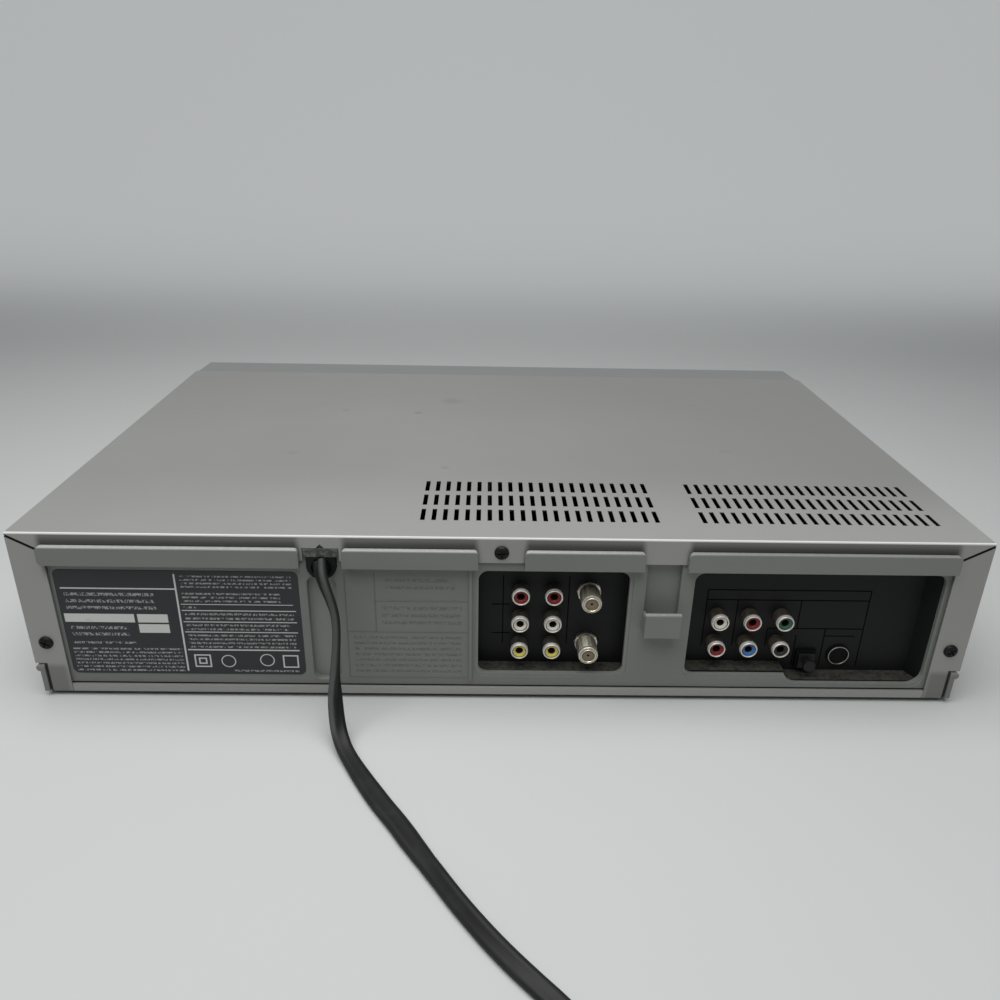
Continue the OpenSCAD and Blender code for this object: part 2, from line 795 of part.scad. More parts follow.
module front_shell()
    difference() {
        translate([-half_w, 0, 0]) rotate([90, 0, 90]) linear_extrude(case_w) front_section(0);
        translate([-half_w + front_t, 0, 0]) rotate([90, 0, 90])
            linear_extrude(case_w - 2 * front_t) front_section(front_t);
        block(-half_w + front_t, half_w - front_t, seam_y - 1, seam_y + 1, cover_gap + front_t,
            seam_top - front_t);
        block(-half_w - 1, half_w + 1, seam_y, seam_y + 1, 0, case_h);
    }

// Buttons: [x, z, width, height]
side_key_x = (bezel_x + bezel_w / 2 + door_x - door_w / 2) / 2;
key_pitch = 19;
key_x = front_jack_x - 16 - 4 * key_pitch;
key_z = 26;
button_list = [[side_key_x, case_h - 22, 16, 6], [side_key_x, case_h - 31.5, 16, 6],
    for (i = [0 : 4]) [key_x + i * key_pitch, key_z, 15, 7]];
power_at = [-half_w + 23, 28];
power_r = 7;

module button_hole(b)
    block(b[0] - b[2] / 2 - gap, b[0] + b[2] / 2 + gap, front_y - 1, front_in + 1,
        b[1] - b[3] / 2 - gap, b[1] + b[3] / 2 + gap);

module front_panel() {
    color("#b4b3b0") {
        difference() {
            union() {
                front_shell();
                for (x = [8 - half_w, bezel_x, key_x - 12, half_w - 8])
                    bar_y(x, post_z, 3, front_in - e, front_board_y);
                both_sides(door_x)
                    block(door_w / 2 + gap, door_w / 2 + gap + 2.5, front_in - e, front_in + 6,
                        door_z0 + door_h - 5, door_z0 + door_h + gap);
                both_sides()
                    block(side_x - 4, side_x - gap, seam_y - 12, seam_y + 4, floor_z + 16, case_h - 16);
            }
            block(bezel_x - bezel_w / 2 - gap, bezel_x + bezel_w / 2 + gap, front_y - 1, front_in + 1,
                bezel_z - gap, bezel_z + bezel_h + gap);
            block(door_x - door_w / 2 - gap, door_x + door_w / 2 + gap, front_y - 1, front_in + 1,
                door_z0 - gap, door_z0 + door_h + gap);
            both_sides(door_x)
                bar_x(door_pivot_y, door_pivot_z, door_pin_r + fit, door_w / 2 - 1, door_w / 2 + 2.2);
            round_plate(window_x - window_w / 2, window_x + window_w / 2, window_z, window_z + window_h,
                front_y - 1, front_y + window_t, 2);
            block(window_x - window_w / 2 + 5, window_x + window_w / 2 - 5, front_y - 1, front_in + 1,
                window_z + 4, window_z + window_h - 4);
            for (b = button_list) button_hole(b);
            bar_y(power_at[0], power_at[1], power_r + gap, front_y - 1, front_in + 1);
            for (i = [0 : 2])
                bar_y(front_jack_x + i * rca_pitch, front_jack_z, rca_r + 0.2, front_y - 1, front_in + 1);
        }
    }
}

module display_window() {
    color("#101418")
        round_plate(window_x - window_w / 2 + 0.1, window_x + window_w / 2 - 0.1,
            window_z + 0.1, window_z + window_h - 0.1, front_y, front_y + window_t, 2);
}

door_pivot_y = door_y + door_t / 2;
door_pivot_z = door_z0 + door_h - 1.5;

module cassette_door() {
    color("#a9a9a7") union() {
        block(door_x - door_w / 2, door_x + door_w / 2, door_y, door_y + door_t, door_z0,
            door_z0 + door_h - 1.5);
        bar_x(door_pivot_y, door_pivot_z, door_t / 2, door_x - door_w / 2, door_x + door_w / 2);
        bar_x(door_pivot_y, door_pivot_z, door_pin_r, door_x - door_w / 2 - 2, door_x + door_w / 2 + 2);
    }
}

module tray_front() {
    color("#b4b3b0")
        round_plate(bezel_x - bezel_w / 2, bezel_x + bezel_w / 2, bezel_z, bezel_z + bezel_h,
            front_y - 0.5, tray_y0, 1);
}

// Key cap through the panel, with a flange behind it and a stem to its switch
module key(b)
    union() {
        block(b[0] - b[2] / 2, b[0] + b[2] / 2, front_y - key_out, front_in + 1,
            b[1] - b[3] / 2, b[1] + b[3] / 2);
        block(b[0] - b[2] / 2 - 1, b[0] + b[2] / 2 + 1, front_in + gap, front_in + 1.3,
            b[1] - b[3] / 2 - 1, b[1] + b[3] / 2 + 1);
        bar_y(b[0], b[1], 1.5, front_in + 1.2, stem_y);
    }

module power_button() {
    color("#8f9294") union() {
        bar_y(power_at[0], power_at[1], power_r, front_y - key_out, front_in + 1);
        bar_y(power_at[0], power_at[1], power_r + 1, front_in + gap, front_in + 1.3);
        bar_y(power_at[0], power_at[1], 1.5, front_in + 1.2, stem_y);
    }
}

module tray_button() { color("#8f9294") key(button_list[0]); }

module eject_button() { color("#8f9294") key(button_list[1]); }

module rewind_button() { color("#8f9294") key(button_list[2]); }

module play_button() { color("#8f9294") key(button_list[3]); }

module forward_button() { color("#8f9294") key(button_list[4]); }

module stop_button() { color("#8f9294") key(button_list[5]); }

module record_button() { color("#8f9294") key(button_list[6]); }

// Boards

// Push switch on the front board
module tact_switch(x, z) {
    block(x - 3, x + 3, front_board_y - 1.6, front_board_y + e, z - 3, z + 3);
    bar_y(x, z, 1.2, front_board_y - switch_h, front_board_y - 1.5);
}

module front_board() {
    color("#2e5d3a") union() {
        block(4 - half_w, half_w - 4, front_board_y, front_board_y + board_t, 10, front_board_top);
        block(side_key_x - 10, side_key_x + 10, front_board_y, front_board_y + board_t,
            front_board_top - 1, case_h - 15);
        block(window_x - 52, window_x + 52, front_in + 1, front_board_y + e, window_z + 3,
            window_z + window_h - 3);
        tact_switch(power_at[0], power_at[1]);
        for (b = button_list) tact_switch(b[0], b[1]);
    }
}

module main_board() {
    color("#2e5d3a") union() {
        block(main_x0, main_x1, main_y0, main_y1, main_z, board_top);
        for (x = [56, 116])
            block(main_x0 + x, main_x0 + x + 20, main_y0 + 30, main_y0 + 50, board_top - e, board_top + 2);
        block(main_x0 + 16, main_x0 + 46, main_y1 - 14, main_y1 - 4, board_top - e, board_top + 9);
        for (x = [62, 50, 22, 10]) post(main_x1 - x, main_y0 + 14, 4, board_top - e, board_top + 12);
    }
}

module power_board() {
    color("#8a6a3c") block(power_x0, power_x1, power_y0, power_y1, main_z, board_top);
}

module transformer() {
    color("#a88a3a") union() {
        block(power_x1 - 74, power_x1 - 40, power_y0 + 14, power_y1 - 12, board_top, board_top + 24);
        block(power_x1 - 68, power_x1 - 46, power_y0 + 10, power_y1 - 8, board_top + 4, board_top + 20);
    }
}

module capacitors() {
    color("#26303c") {
        post(power_x0 + 84, power_y0 + 30, 11, board_top, board_top + 30);
        for (x = [20, 34, 48]) post(power_x0 + x, power_y0 + 14, 5, board_top, board_top + 16);
    }
}

module heat_sink() {
    color("#9a9c9e") union() {
        fin_x = power_x1 - 23;
        block(fin_x - 3, fin_x, power_y0 + 8, power_y1 - 12, board_top, board_top + 34);
        for (i = [0 : 4])
            block(fin_x - e, fin_x + 11, power_y0 + 9 + 7 * i, power_y0 + 11 + 7 * i,
                board_top, board_top + 34);
    }
}

module tuner_module() {
    color("#a7a9aa") block(tuner_x0, tuner_x1, main_y1 - 42, plate_y - plate_t - gap, board_top, rf_z[1] + 9);
}

// Disc loader

module loader_frame() {
    color("#26272a") difference() {
        union() {
            block(loader_x0, loader_x1, loader_y0, loader_y1, loader_z, loader_z + loader_t);
            both_sides(bezel_x) {
                block(rail_x, 80, loader_y0, loader_y1, loader_z, rail_top);
                block(rail_x - 7.6, rail_x + e, loader_y0, loader_y1, loader_z, rack_z - gap);
                for (y = [loader_y0 + 10, main_y0 - 8]) post(74, y, 5, floor_z, loader_z + e);
                rod_mount();
            }
            block(loader_x0, loader_x1, well_y - 20, well_y + 20, rail_top - e, rail_top + 1.5);
            post(bezel_x, well_y, 12, loader_z, motor_top);
            post(gear_x, gear_y, 2, loader_z, tray_z - 0.8);
        }
        post(bezel_x, well_y, 1 + fit, loader_z + loader_t + 1, motor_top + 1);
        post(bezel_x, well_y, 12, rail_top - 1, rail_top + 3);
    }
}

// Guide rod and the two blocks that hold it
module rod_mount() {
    bar_y(rod_x, rod_z, rod_r, sled_y - 12, sled_y + sled_travel + 30);
    for (y = [sled_y - 14, sled_y + sled_travel + 28])
        block(rod_x - 4, rod_x + 4, y, y + 3, loader_z, motor_top);
}

module disc_tray() {
    color("#303236") difference() {
        union() {
            block(bezel_x - tray_w / 2, bezel_x + tray_w / 2, tray_y0, tray_y1, tray_z, tray_z + tray_h);
            both_sides(bezel_x)
                block(tray_w / 2 - rack_w, tray_w / 2, tray_y0, runner_y1, rack_z, tray_z + tray_h);
            rack_teeth();
        }
        post(bezel_x, well_y, well_r, tray_z + 3.5, tray_z + tray_h + 1);
        post(bezel_x, well_y, 40.5, tray_z + 1.8, tray_z + tray_h + 1);
        block(bezel_x - slot_half, bezel_x + slot_half, well_y - slot_half - 3, tray_y1 + 1,
            tray_z - 1, tray_z + tray_h + 1);
    }
}

rack_teeth_count = floor((runner_y1 - tray_y0 - 8) / tooth_pitch);

module rack_teeth() {
    first = gear_y - floor((gear_y - tray_y0 - 4) / tooth_pitch) * tooth_pitch + tooth_pitch / 2;
    for (i = [0 : rack_teeth_count - 1])
        translate([rack_line_x, first + i * tooth_pitch, rack_z])
            linear_extrude(tray_z - rack_z + e)
                polygon([[-tooth_root - e, -1.2], [tooth_tip, -0.4], [tooth_tip, 0.4],
                    [-tooth_root - e, 1.2]]);
}

module tray_gear() {
    color("#d8d6cc") translate([gear_x, gear_y, 0]) difference() {
        union() {
            cylinder_from(gear_r - tooth_root, rack_z + gap, tray_z - 0.4);
            for (i = [0 : gear_teeth - 1])
                rotate([0, 0, 360 * i / gear_teeth]) translate([0, 0, rack_z + gap])
                    linear_extrude(tray_z - 0.4 - rack_z - gap)
                        polygon([[gear_r - tooth_root - 0.5, -1.05], [gear_r - tooth_root, -1.05],
                            [gear_r, -0.66], [gear_r + tooth_tip, -0.25], [gear_r + tooth_tip, 0.25],
                            [gear_r, 0.66], [gear_r - tooth_root, 1.05], [gear_r - tooth_root - 0.5, 1.05]]);
            cylinder_from(5, loader_z + loader_t + gap, rack_z + gap + e);
        }
        cylinder_from(2 + fit, loader_z, tray_z + 1);
    }
}

// Cylinder on the local Z axis between two heights
module cylinder_from(r, z0, z1)
    translate([0, 0, z0]) cylinder(r = r, h = z1 - z0);

module disc_turntable() {
    color("#3a3b3e") translate([bezel_x, well_y, 0]) union() {
        cylinder_from(1, sled_z, motor_top + 0.5);
        cylinder_from(5, motor_top + gap, tray_z + 0.9);
        cylinder_from(turntable_r, tray_z + 0.8, tray_z + 2.8);
        cylinder_from(hub_r, tray_z + 2.7, tray_z + 5.8);
    }
}

module optical_sled() {
    color("#4a4c50") difference() {
        union() {
            block(bezel_x - rod_x + 5, bezel_x + rod_x - 5, sled_y - 8, sled_y + 24, sled_z, sled_z + 12);
            both_sides(bezel_x)
                block(rod_x - 5.5, rod_x + 3.5, sled_y - 4, sled_y + 20, rod_z - 3.5, rod_z + 3.5);
            post(bezel_x, sled_y, 5.5, sled_z + 11, sled_z + 16);
            post(bezel_x, sled_y, 2.6, sled_z + 15, sled_z + 17);
        }
        both_sides(bezel_x)
            bar_y(rod_x, rod_z, rod_r + fit, sled_y - 20, sled_y + 30);
    }
}

module disc_clamp() {
    color("#33353a") translate([bezel_x, well_y, 0]) union() {
        cylinder_from(clamp_r + 1, rail_top + 1.5 + gap, rail_top + 3);
        cylinder_from(11.6, rail_top - 1, rail_top + 2);
        cylinder_from(clamp_r, rail_top - 2.4, rail_top - 0.5);
    }
}

// Tape deck

module deck_chassis() {
    color("#8f9496") difference() {
        union() {
            block(deck_x - deck_w / 2, deck_x + deck_w / 2, deck_y0, deck_y1, deck_z, deck_top);
            both_sides(deck_x)
                for (y = [deck_y0 + 6, deck_y1 - 6])
                    post(deck_w / 2 - 6, y, 4, floor_z, deck_z + e);
            post(capstan_x, capstan_y, 4, deck_z - 3, deck_top + 3);
            for (s = [-1, 1]) post(deck_x + s * reel_pitch / 2, reel_y, 1.5, deck_top - e, deck_top + 16);
            post(pinch_x, pinch_y, 2, deck_top - e, deck_top + 12);
            at_drum() cylinder_from(18, -1, drum_low);
        }
        post(capstan_x, capstan_y, capstan_r + fit, deck_z - 4, deck_top + 9);
    }
}

// Leaning place of the head drum, on the deck
module at_drum()
    translate([drum_x, drum_y, deck_top]) rotate([0, -drum_tilt, 0]) children();

module drum_base() {
    color("#b8babc") at_drum() union() {
        cylinder_from(drum_r, drum_low, drum_split);
        cylinder_from(2.5, drum_split - e, drum_top - 3);
    }
}

module head_drum() {
    color("#c9cbcc") at_drum() difference() {
        union() {
            cylinder_from(drum_r, drum_split + gap, drum_top);
            cylinder_from(9, drum_top - e, drum_top + 1.5);
        }
        cylinder_from(2.5 + fit, drum_split, drum_top + 2);
        cylinder_from(27, drum_split + 2, drum_top - 3);
    }
}

module reel() {
    difference() {
        union() {
            cylinder_from(reel_r, 0, 2.6);
            cylinder_from(9, 2.5, reel_hub_h);
            cylinder_from(5, reel_hub_h - 0.1, 18.5);
            for (a = [0, 120, 240])
                rotate([0, 0, a]) translate([0, -0.8, reel_hub_h]) cube([6.6, 1.6, 11]);
        }
        cylinder_from(1.5 + fit, -1, 17);
    }
}

module supply_reel() { color("#2c2d30") translate([deck_x - reel_pitch / 2, reel_y, deck_top + gap]) reel(); }

module takeup_reel() { color("#2c2d30") translate([deck_x + reel_pitch / 2, reel_y, deck_top + gap]) reel(); }

module capstan() {
    color("#9da0a3") union() {
        post(capstan_x, capstan_y, flywheel_r, flywheel_z, flywheel_z + flywheel_h);
        post(capstan_x, capstan_y, capstan_r, flywheel_z + flywheel_h - e, deck_top + 30);
    }
}

module pinch_arm() {
    color("#7c8083") translate([pinch_x, pinch_y, 0]) rotate([0, 0, pinch_rest]) difference() {
        union() {
            cylinder_from(4.5, deck_top + gap, deck_top + 8);
            translate([0, -3, deck_top + gap]) cube([pinch_arm_l, 6, 3]);
            translate([pinch_arm_l, 0, 0]) {
                cylinder_from(3, deck_top + gap, deck_top + gap + 3);
                cylinder_from(1.5, deck_top + 3, deck_top + 26);
            }
        }
        cylinder_from(2 + fit, deck_top - 1, deck_top + 9);
    }
}

module pinch_roller() {
    color("#1d1d1f") translate([pinch_x, pinch_y, 0]) rotate([0, 0, pinch_rest])
        translate([pinch_arm_l, 0, 0]) difference() {
            cylinder_from(pinch_r, deck_top + 3 + 2 * gap, deck_top + 24);
            cylinder_from(1.5 + fit, deck_top, deck_top + 27);
        }
}

module tape_heads() {
    color("#a9abad") {
        block(deck_x - 48, deck_x - 40, drum_y - 25, drum_y - 19, deck_top, deck_top + 21);
        block(deck_x + 31.5, deck_x + 40.5, drum_y + 12, drum_y + 19, deck_top, deck_top + 21);
        for (p = [[-52, -5], [-40, 8], [-25, 26], [25, 26], [30, -26]])
            post(deck_x + p[0], drum_y + p[1], 2.5, deck_top, deck_top + 27);
    }
}

module cassette_frame() {
    color("#8f9496") union() {
        both_sides(deck_x)
            block(frame_half, frame_half + frame_t, frame_y0, frame_y0 + frame_l, deck_top, frame_top);
        for (y = [frame_y0, frame_y0 + frame_l - 8])
            block(deck_x - frame_half - e, deck_x + frame_half + e, y, y + 8, frame_top - 1.2, frame_top);
    }
}

module carriage_guides() {
    guide_top = frame_top - 1.2 - gap;
    color("#d0cec6") union() {
        both_sides(deck_x)
            block(guide_half, guide_half + guide_t, holder_y + 13, holder_y + 47, deck_top + gap, guide_top);
        block(deck_x - guide_half - e, deck_x + guide_half + e, holder_y + 16, holder_y + 22,
            guide_top - 1.4, guide_top);
    }
}

module cassette_holder() {
    z1 = holder_z + holder_in_h;
    y1 = holder_y + holder_d;
    color("#9ea2a4") difference() {
        block(deck_x - holder_out, deck_x + holder_out, holder_y, y1, holder_z, z1 + holder_t);
        block(deck_x - holder_half, deck_x + holder_half, holder_y - 1, y1 + 1, holder_z + holder_t, z1);
        block(deck_x - holder_half + 18, deck_x + holder_half - 18, holder_y - 1, y1 + 1,
            holder_z - 1, z1 - 5);
        for (s = [-1, 1])
            block(deck_x + s * 45 - 22, deck_x + s * 45 + 22, holder_y + 12, y1 - 12, z1 - 1, z1 + 2);
    }
}

top_cover();
chassis_base();
feet();
cover_screws();
rear_panel();
rating_label();
av_jack_plate();
dvd_jack_plate();
rca_shells();
rca_inserts_red();
rca_inserts_white();
rca_inserts_yellow();
rca_insert_green();
rca_insert_blue();
rca_insert_black();
rf_connectors();
svideo_socket();
optical_socket();
optical_dust_plug();
strain_relief();
power_cord();
power_cord_coil();
power_plug();
front_panel();
display_window();
cassette_door();
tray_front();
power_button();
tray_button();
eject_button();
rewind_button();
play_button();
forward_button();
stop_button();
record_button();
front_board();
main_board();
power_board();
transformer();
capacitors();
heat_sink();
tuner_module();
loader_frame();
disc_tray();
tray_gear();
disc_turntable();
optical_sled();
disc_clamp();
deck_chassis();
cassette_frame();
carriage_guides();
cassette_holder();
supply_reel();
takeup_reel();
drum_base();
head_drum();
capstan();
pinch_arm();
pinch_roller();
tape_heads();
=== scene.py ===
"""Finishes and fine pieces for a disc player and video cassette recorder in one case."""

import json
import math

import bpy
from bpy.props import FloatProperty, FloatVectorProperty, IntProperty, PointerProperty
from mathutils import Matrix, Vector

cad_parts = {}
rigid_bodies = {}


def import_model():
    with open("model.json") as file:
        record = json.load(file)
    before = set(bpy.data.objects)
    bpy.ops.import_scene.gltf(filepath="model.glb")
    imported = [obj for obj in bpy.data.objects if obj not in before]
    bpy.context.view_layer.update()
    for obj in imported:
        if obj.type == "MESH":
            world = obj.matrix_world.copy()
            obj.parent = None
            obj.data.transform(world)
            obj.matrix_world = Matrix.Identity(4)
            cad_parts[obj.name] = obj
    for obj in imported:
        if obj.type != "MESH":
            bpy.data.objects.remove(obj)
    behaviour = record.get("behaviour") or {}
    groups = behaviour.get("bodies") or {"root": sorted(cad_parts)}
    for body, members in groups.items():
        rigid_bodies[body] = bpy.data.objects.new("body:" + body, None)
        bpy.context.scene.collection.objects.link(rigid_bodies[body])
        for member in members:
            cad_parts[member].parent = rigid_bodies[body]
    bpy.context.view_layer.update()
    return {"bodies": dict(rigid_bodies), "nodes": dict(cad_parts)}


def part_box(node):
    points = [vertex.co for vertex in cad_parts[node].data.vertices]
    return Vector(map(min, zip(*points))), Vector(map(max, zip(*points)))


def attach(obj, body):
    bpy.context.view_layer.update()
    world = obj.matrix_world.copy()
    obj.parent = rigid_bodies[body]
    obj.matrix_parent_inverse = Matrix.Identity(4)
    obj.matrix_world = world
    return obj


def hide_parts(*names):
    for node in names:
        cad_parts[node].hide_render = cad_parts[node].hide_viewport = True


bl_info = {
    "name": "Video player finishes",
    "version": (1, 0, 0),
    "blender": (4, 5, 0),
    "location": "View3D > Sidebar > Player",
    "description": "Dresses the packed video player: shells, jacks, label, cord, lights and floor",
    "category": "Object",
}

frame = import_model()
MM = 0.001
# How deep a raised line or mark is sunk into its face, in metres
SUNK = 0.02 * MM


# ---------------------------------------------------------------- sizes and colours


def length(label, text, millimetres):
    """A size that the user may change, kept in metres."""
    return FloatProperty(name=label, description=text, default=millimetres * MM, unit="LENGTH",
                         precision=5)


def colour(label, text, rgb):
    """A colour that the user may change."""
    return FloatVectorProperty(name=label, description=text, default=rgb, subtype="COLOR", min=0, max=1)


class PlayerSizes(bpy.types.PropertyGroup):
    cover_edge: length("Cover edge", "Outer radius of the folds in the sheet cover", 0.4)
    panel_edge: length("Panel edge", "Radius on the moulded panel's edges", 0.35)
    tab_edge: length("Tab edge", "Radius on the hood tabs' outer edges", 0.6)
    screw_head: length("Screw head", "Radius of a cover screw's head", 3.2)
    front_edge: length("Front edge", "Radius on the front panel's edges", 0.6)
    key_edge: length("Key edge", "Radius on the keys' edges", 0.5)
    line_width: length("Line width", "Width of the raised frame lines on the panels", 0.45)
    line_height: length("Line height", "Height of the raised frame lines on the panels", 0.18)
    mark_height: length("Mark height", "Height of the raised symbols on the keys", 0.12)
    thread_pitch: length("Thread pitch", "Pitch of the aerial connectors' thread", 0.8)
    cord_width: length("Cord width", "Width of the flat twin cord", 7.2)
    cord_thickness: length("Cord thickness", "Thickness of the flat twin cord", 3.7)
    coil_turns: IntProperty(name="Coil turns", description="Whole turns in the cord's coil", default=5)


class PlayerColours(bpy.types.PropertyGroup):
    cover: colour("Cover", "Satin silver-grey paint of the cover", (0.313, 0.309, 0.298))
    panel: colour("Rear panel", "Grey moulding of the rear panel", (0.167, 0.174, 0.161))
    front: colour("Front panel", "Silver paint of the front panel", (0.200, 0.206, 0.204))
    label: colour("Label", "Dark film of the label", (0.020, 0.021, 0.025))
    label_print: colour("Label print", "Pale rules and boxes on the label", (0.56, 0.56, 0.54))
    jack_black: colour("Jack black", "Black moulding behind the jacks", (0.0065, 0.007, 0.0068))
    nickel: colour("Nickel", "Nickel plate of the jacks", (0.60, 0.58, 0.54))
    dust: colour("Dust", "Dust that settles on ledges", (0.062, 0.060, 0.050))
    cord: colour("Cord", "Black sheath of the cord", (0.010, 0.010, 0.0102))


class PlayerStage(bpy.types.PropertyGroup):
    floor: colour("Floor", "Pale floor and backdrop", (0.495, 0.505, 0.50))
    wall: colour("Backdrop", "Pale backdrop behind the object", (0.90, 0.92, 0.915))
    glow: colour("Backdrop glow", "Even light of the backdrop as the camera sees it",
                 (0.47, 0.485, 0.485))
    sky: FloatProperty(name="Sky", description="Strength of the soft light from all round", default=0.20)
    lamp: FloatProperty(name="Lamp", description="Power of the soft lamp overhead", default=9.2,
                        unit="POWER")
    lens: FloatProperty(name="Lens", description="Focal length of the camera in millimetres",
                        default=30.027)


def sizes():
    return bpy.context.scene.player_sizes


def colours():
    return bpy.context.scene.player_colours


# ---------------------------------------------------------------- shader arithmetic


class Value:
    """A number that changes over a surface. Arithmetic on it adds Math nodes."""

    def __init__(self, nodes, socket):
        self.nodes = nodes
        self.socket = socket

    def __add__(self, other):
        return self.nodes.math("ADD", self, other)

    def __sub__(self, other):
        return self.nodes.math("SUBTRACT", self, other)

    def __rsub__(self, other):
        return self.nodes.math("SUBTRACT", other, self)

    def __mul__(self, other):
        return self.nodes.math("MULTIPLY", self, other)

    def __mod__(self, other):
        return self.nodes.math("FLOORED_MODULO", self, other)

    __radd__ = __add__
    __rmul__ = __mul__


# The rays that show the backdrop's own pale tone
RAYS = ("Is Camera Ray", "Is Glossy Ray", "Is Transmission Ray")


class Nodes:
    """A node tree that is built by expressions."""

    def __init__(self, tree):
        self.tree = tree

    def feed(self, socket, value):
        if isinstance(value, Value):
            self.tree.links.new(value.socket, socket)
        elif hasattr(value, "__len__") and len(value) == 3 and len(socket.default_value) == 4:
            socket.default_value = (*value, 1)
        else:
            socket.default_value = value

    def node(self, kind, settings=None, inputs=None, out=0):
        """Adds a node, its settings first, then the values or links of its sockets."""
        made = self.tree.nodes.new(kind)
        for name, value in (settings or {}).items():
            setattr(made, name, value)
        for name, value in (inputs or {}).items():
            self.feed(made.inputs[name], value)
        return Value(self, made.outputs[out])

    def math(self, operation, *values):
        return self.node("ShaderNodeMath", {"operation": operation}, dict(enumerate(values)))

    def strongest(self, mask, *others):
        for other in others:
            mask = self.math("MAXIMUM", mask, other)
        return mask

    def reach(self, across, along):
        """The distance from a middle, from its two parts."""
        return self.math("SQRT", across * across + along * along)

    def seen(self):
        """1 for the rays that show the backdrop's own tone."""
        return self.strongest(*[self.node("ShaderNodeLightPath", out=kind) for kind in RAYS])


def scaled(rgb, share, green=1.0, blue=1.0):
    """A share of a colour. A lower green and blue brown it."""
    return tuple(min(1.0, c * own * share) for c, own in zip(rgb, (1, green, blue)))


class Paint(Nodes):
    """One material, built from Object coordinates in millimetres. Its tone is the colour so far."""

    def __init__(self, name, base, roughness, metallic=0.0, coat=0.0, specular=0.5):
        self.material = bpy.data.materials.new(name)
        self.material.use_nodes = True
        super().__init__(self.material.node_tree)
        self.surface = self.tree.nodes["Principled BSDF"]
        self.set("Base Color", base)
        self.set("Roughness", roughness)
        self.set("Metallic", metallic)
        self.set("Coat Weight", coat)
        self.set("Specular IOR Level", specular)
        self.base = self.tone = base
        self.point = None

    def set(self, socket, value):
        self.feed(self.surface.inputs[socket], value)

    def at(self, stretch=(1, 1, 1), shift=(0, 0, 0)):
        """Object coordinates in millimetres, stretched and moved."""
        start = self.node("ShaderNodeTexCoord", out="Object")
        scale = [s / MM for s in stretch]
        return self.node("ShaderNodeMapping", None, {"Vector": start, "Scale": scale, "Location": shift})

    def xyz(self):
        if self.point is None:
            split = self.node("ShaderNodeSeparateXYZ", None, {0: self.at()})
            outs = split.socket.node.outputs
            self.point = [Value(self, outs[i]) for i in range(3)]
        return self.point

    def facing(self, axis):
        """How much the surface faces along an axis, from -1 to 1."""
        normal = self.node("ShaderNodeNewGeometry", out="Normal")
        return self.node("ShaderNodeSeparateXYZ", None, {0: normal}, out=axis)

    def noise(self, size, detail, roughness=0.5, stretch=(1, 1, 1), shift=(0, 0, 0)):
        """Noise from 0 to 1 whose features are about size millimetres across."""
        inputs = {"Vector": self.at(stretch, shift), "Scale": 1 / size, "Detail": detail,
                  "Roughness": roughness}
        return self.node("ShaderNodeTexNoise", {"noise_dimensions": "3D"}, inputs)

    def step(self, value, low, high):
        """0 below low, 1 above high, smooth between. With low above high it falls."""
        inputs = {"Value": value, "From Min": low, "From Max": high}
        return self.node("ShaderNodeMapRange", {"interpolation_type": "SMOOTHSTEP"}, inputs)

    def band(self, value, low, high, soft):
        """1 between low and high."""
        return self.step(value, low - soft, low + soft) * self.step(value, high + soft, high - soft)

    def mix(self, low, high, factor):
        """A colour from low to high by factor."""
        inputs = {"Factor": factor, 6: low, 7: high}
        return self.node("ShaderNodeMix", {"data_type": "RGBA"}, inputs, out=2)

    def vary(self, low, high, factor):
        """Spreads the tone between two shares of the base colour."""
        self.tone = self.mix(scaled(self.base, low), scaled(self.base, high), factor)

    def lay(self, rgb, mask):
        """Lays a colour over the tone where the mask is."""
        self.tone = self.mix(self.tone, rgb, mask)

    def shade(self, share, mask):
        """Lays a share of the base colour over the tone where the mask is."""
        self.lay(scaled(self.base, share), mask)

    def finished(self, rough, height, depth, strength):
        """Sets the tone, the roughness and a relief. A height of 1 stands depth millimetres proud."""
        relief = {"Height": height, "Distance": depth * MM, "Strength": strength}
        self.set("Base Color", self.tone)
        self.set("Roughness", rough)
        self.set("Normal", self.node("ShaderNodeBump", None, relief))
        return self.material


# ---------------------------------------------------------------- finishes


# Where the hood tabs hang over the cover's lip, from left to right along X, in millimetres
TAB_SPANS = [(-200.5, -80.7), (-61.5, -8.8), (11.6, 71.0), (89.6, 202.0)]
# Rubbed spots on the cover: x, y, radius in millimetres, and how strong
SCUFFS = [(77, 142, 4, 0.7), (31, -51, 8, 0.50), (51, -26, 3.5, 0.55), (96, -29, 3, 0.35),
          (30, 64, 3, 0.40), (-122, -20, 5, 0.45), (-123, -48, 3, 0.40), (-124, 34, 4.5, 0.65),
          (78, 127, 7, 0.40), (113, 45, 4, 0.30), (167, 138, 12, 0.15), (194, 125, 6, 0.20)]


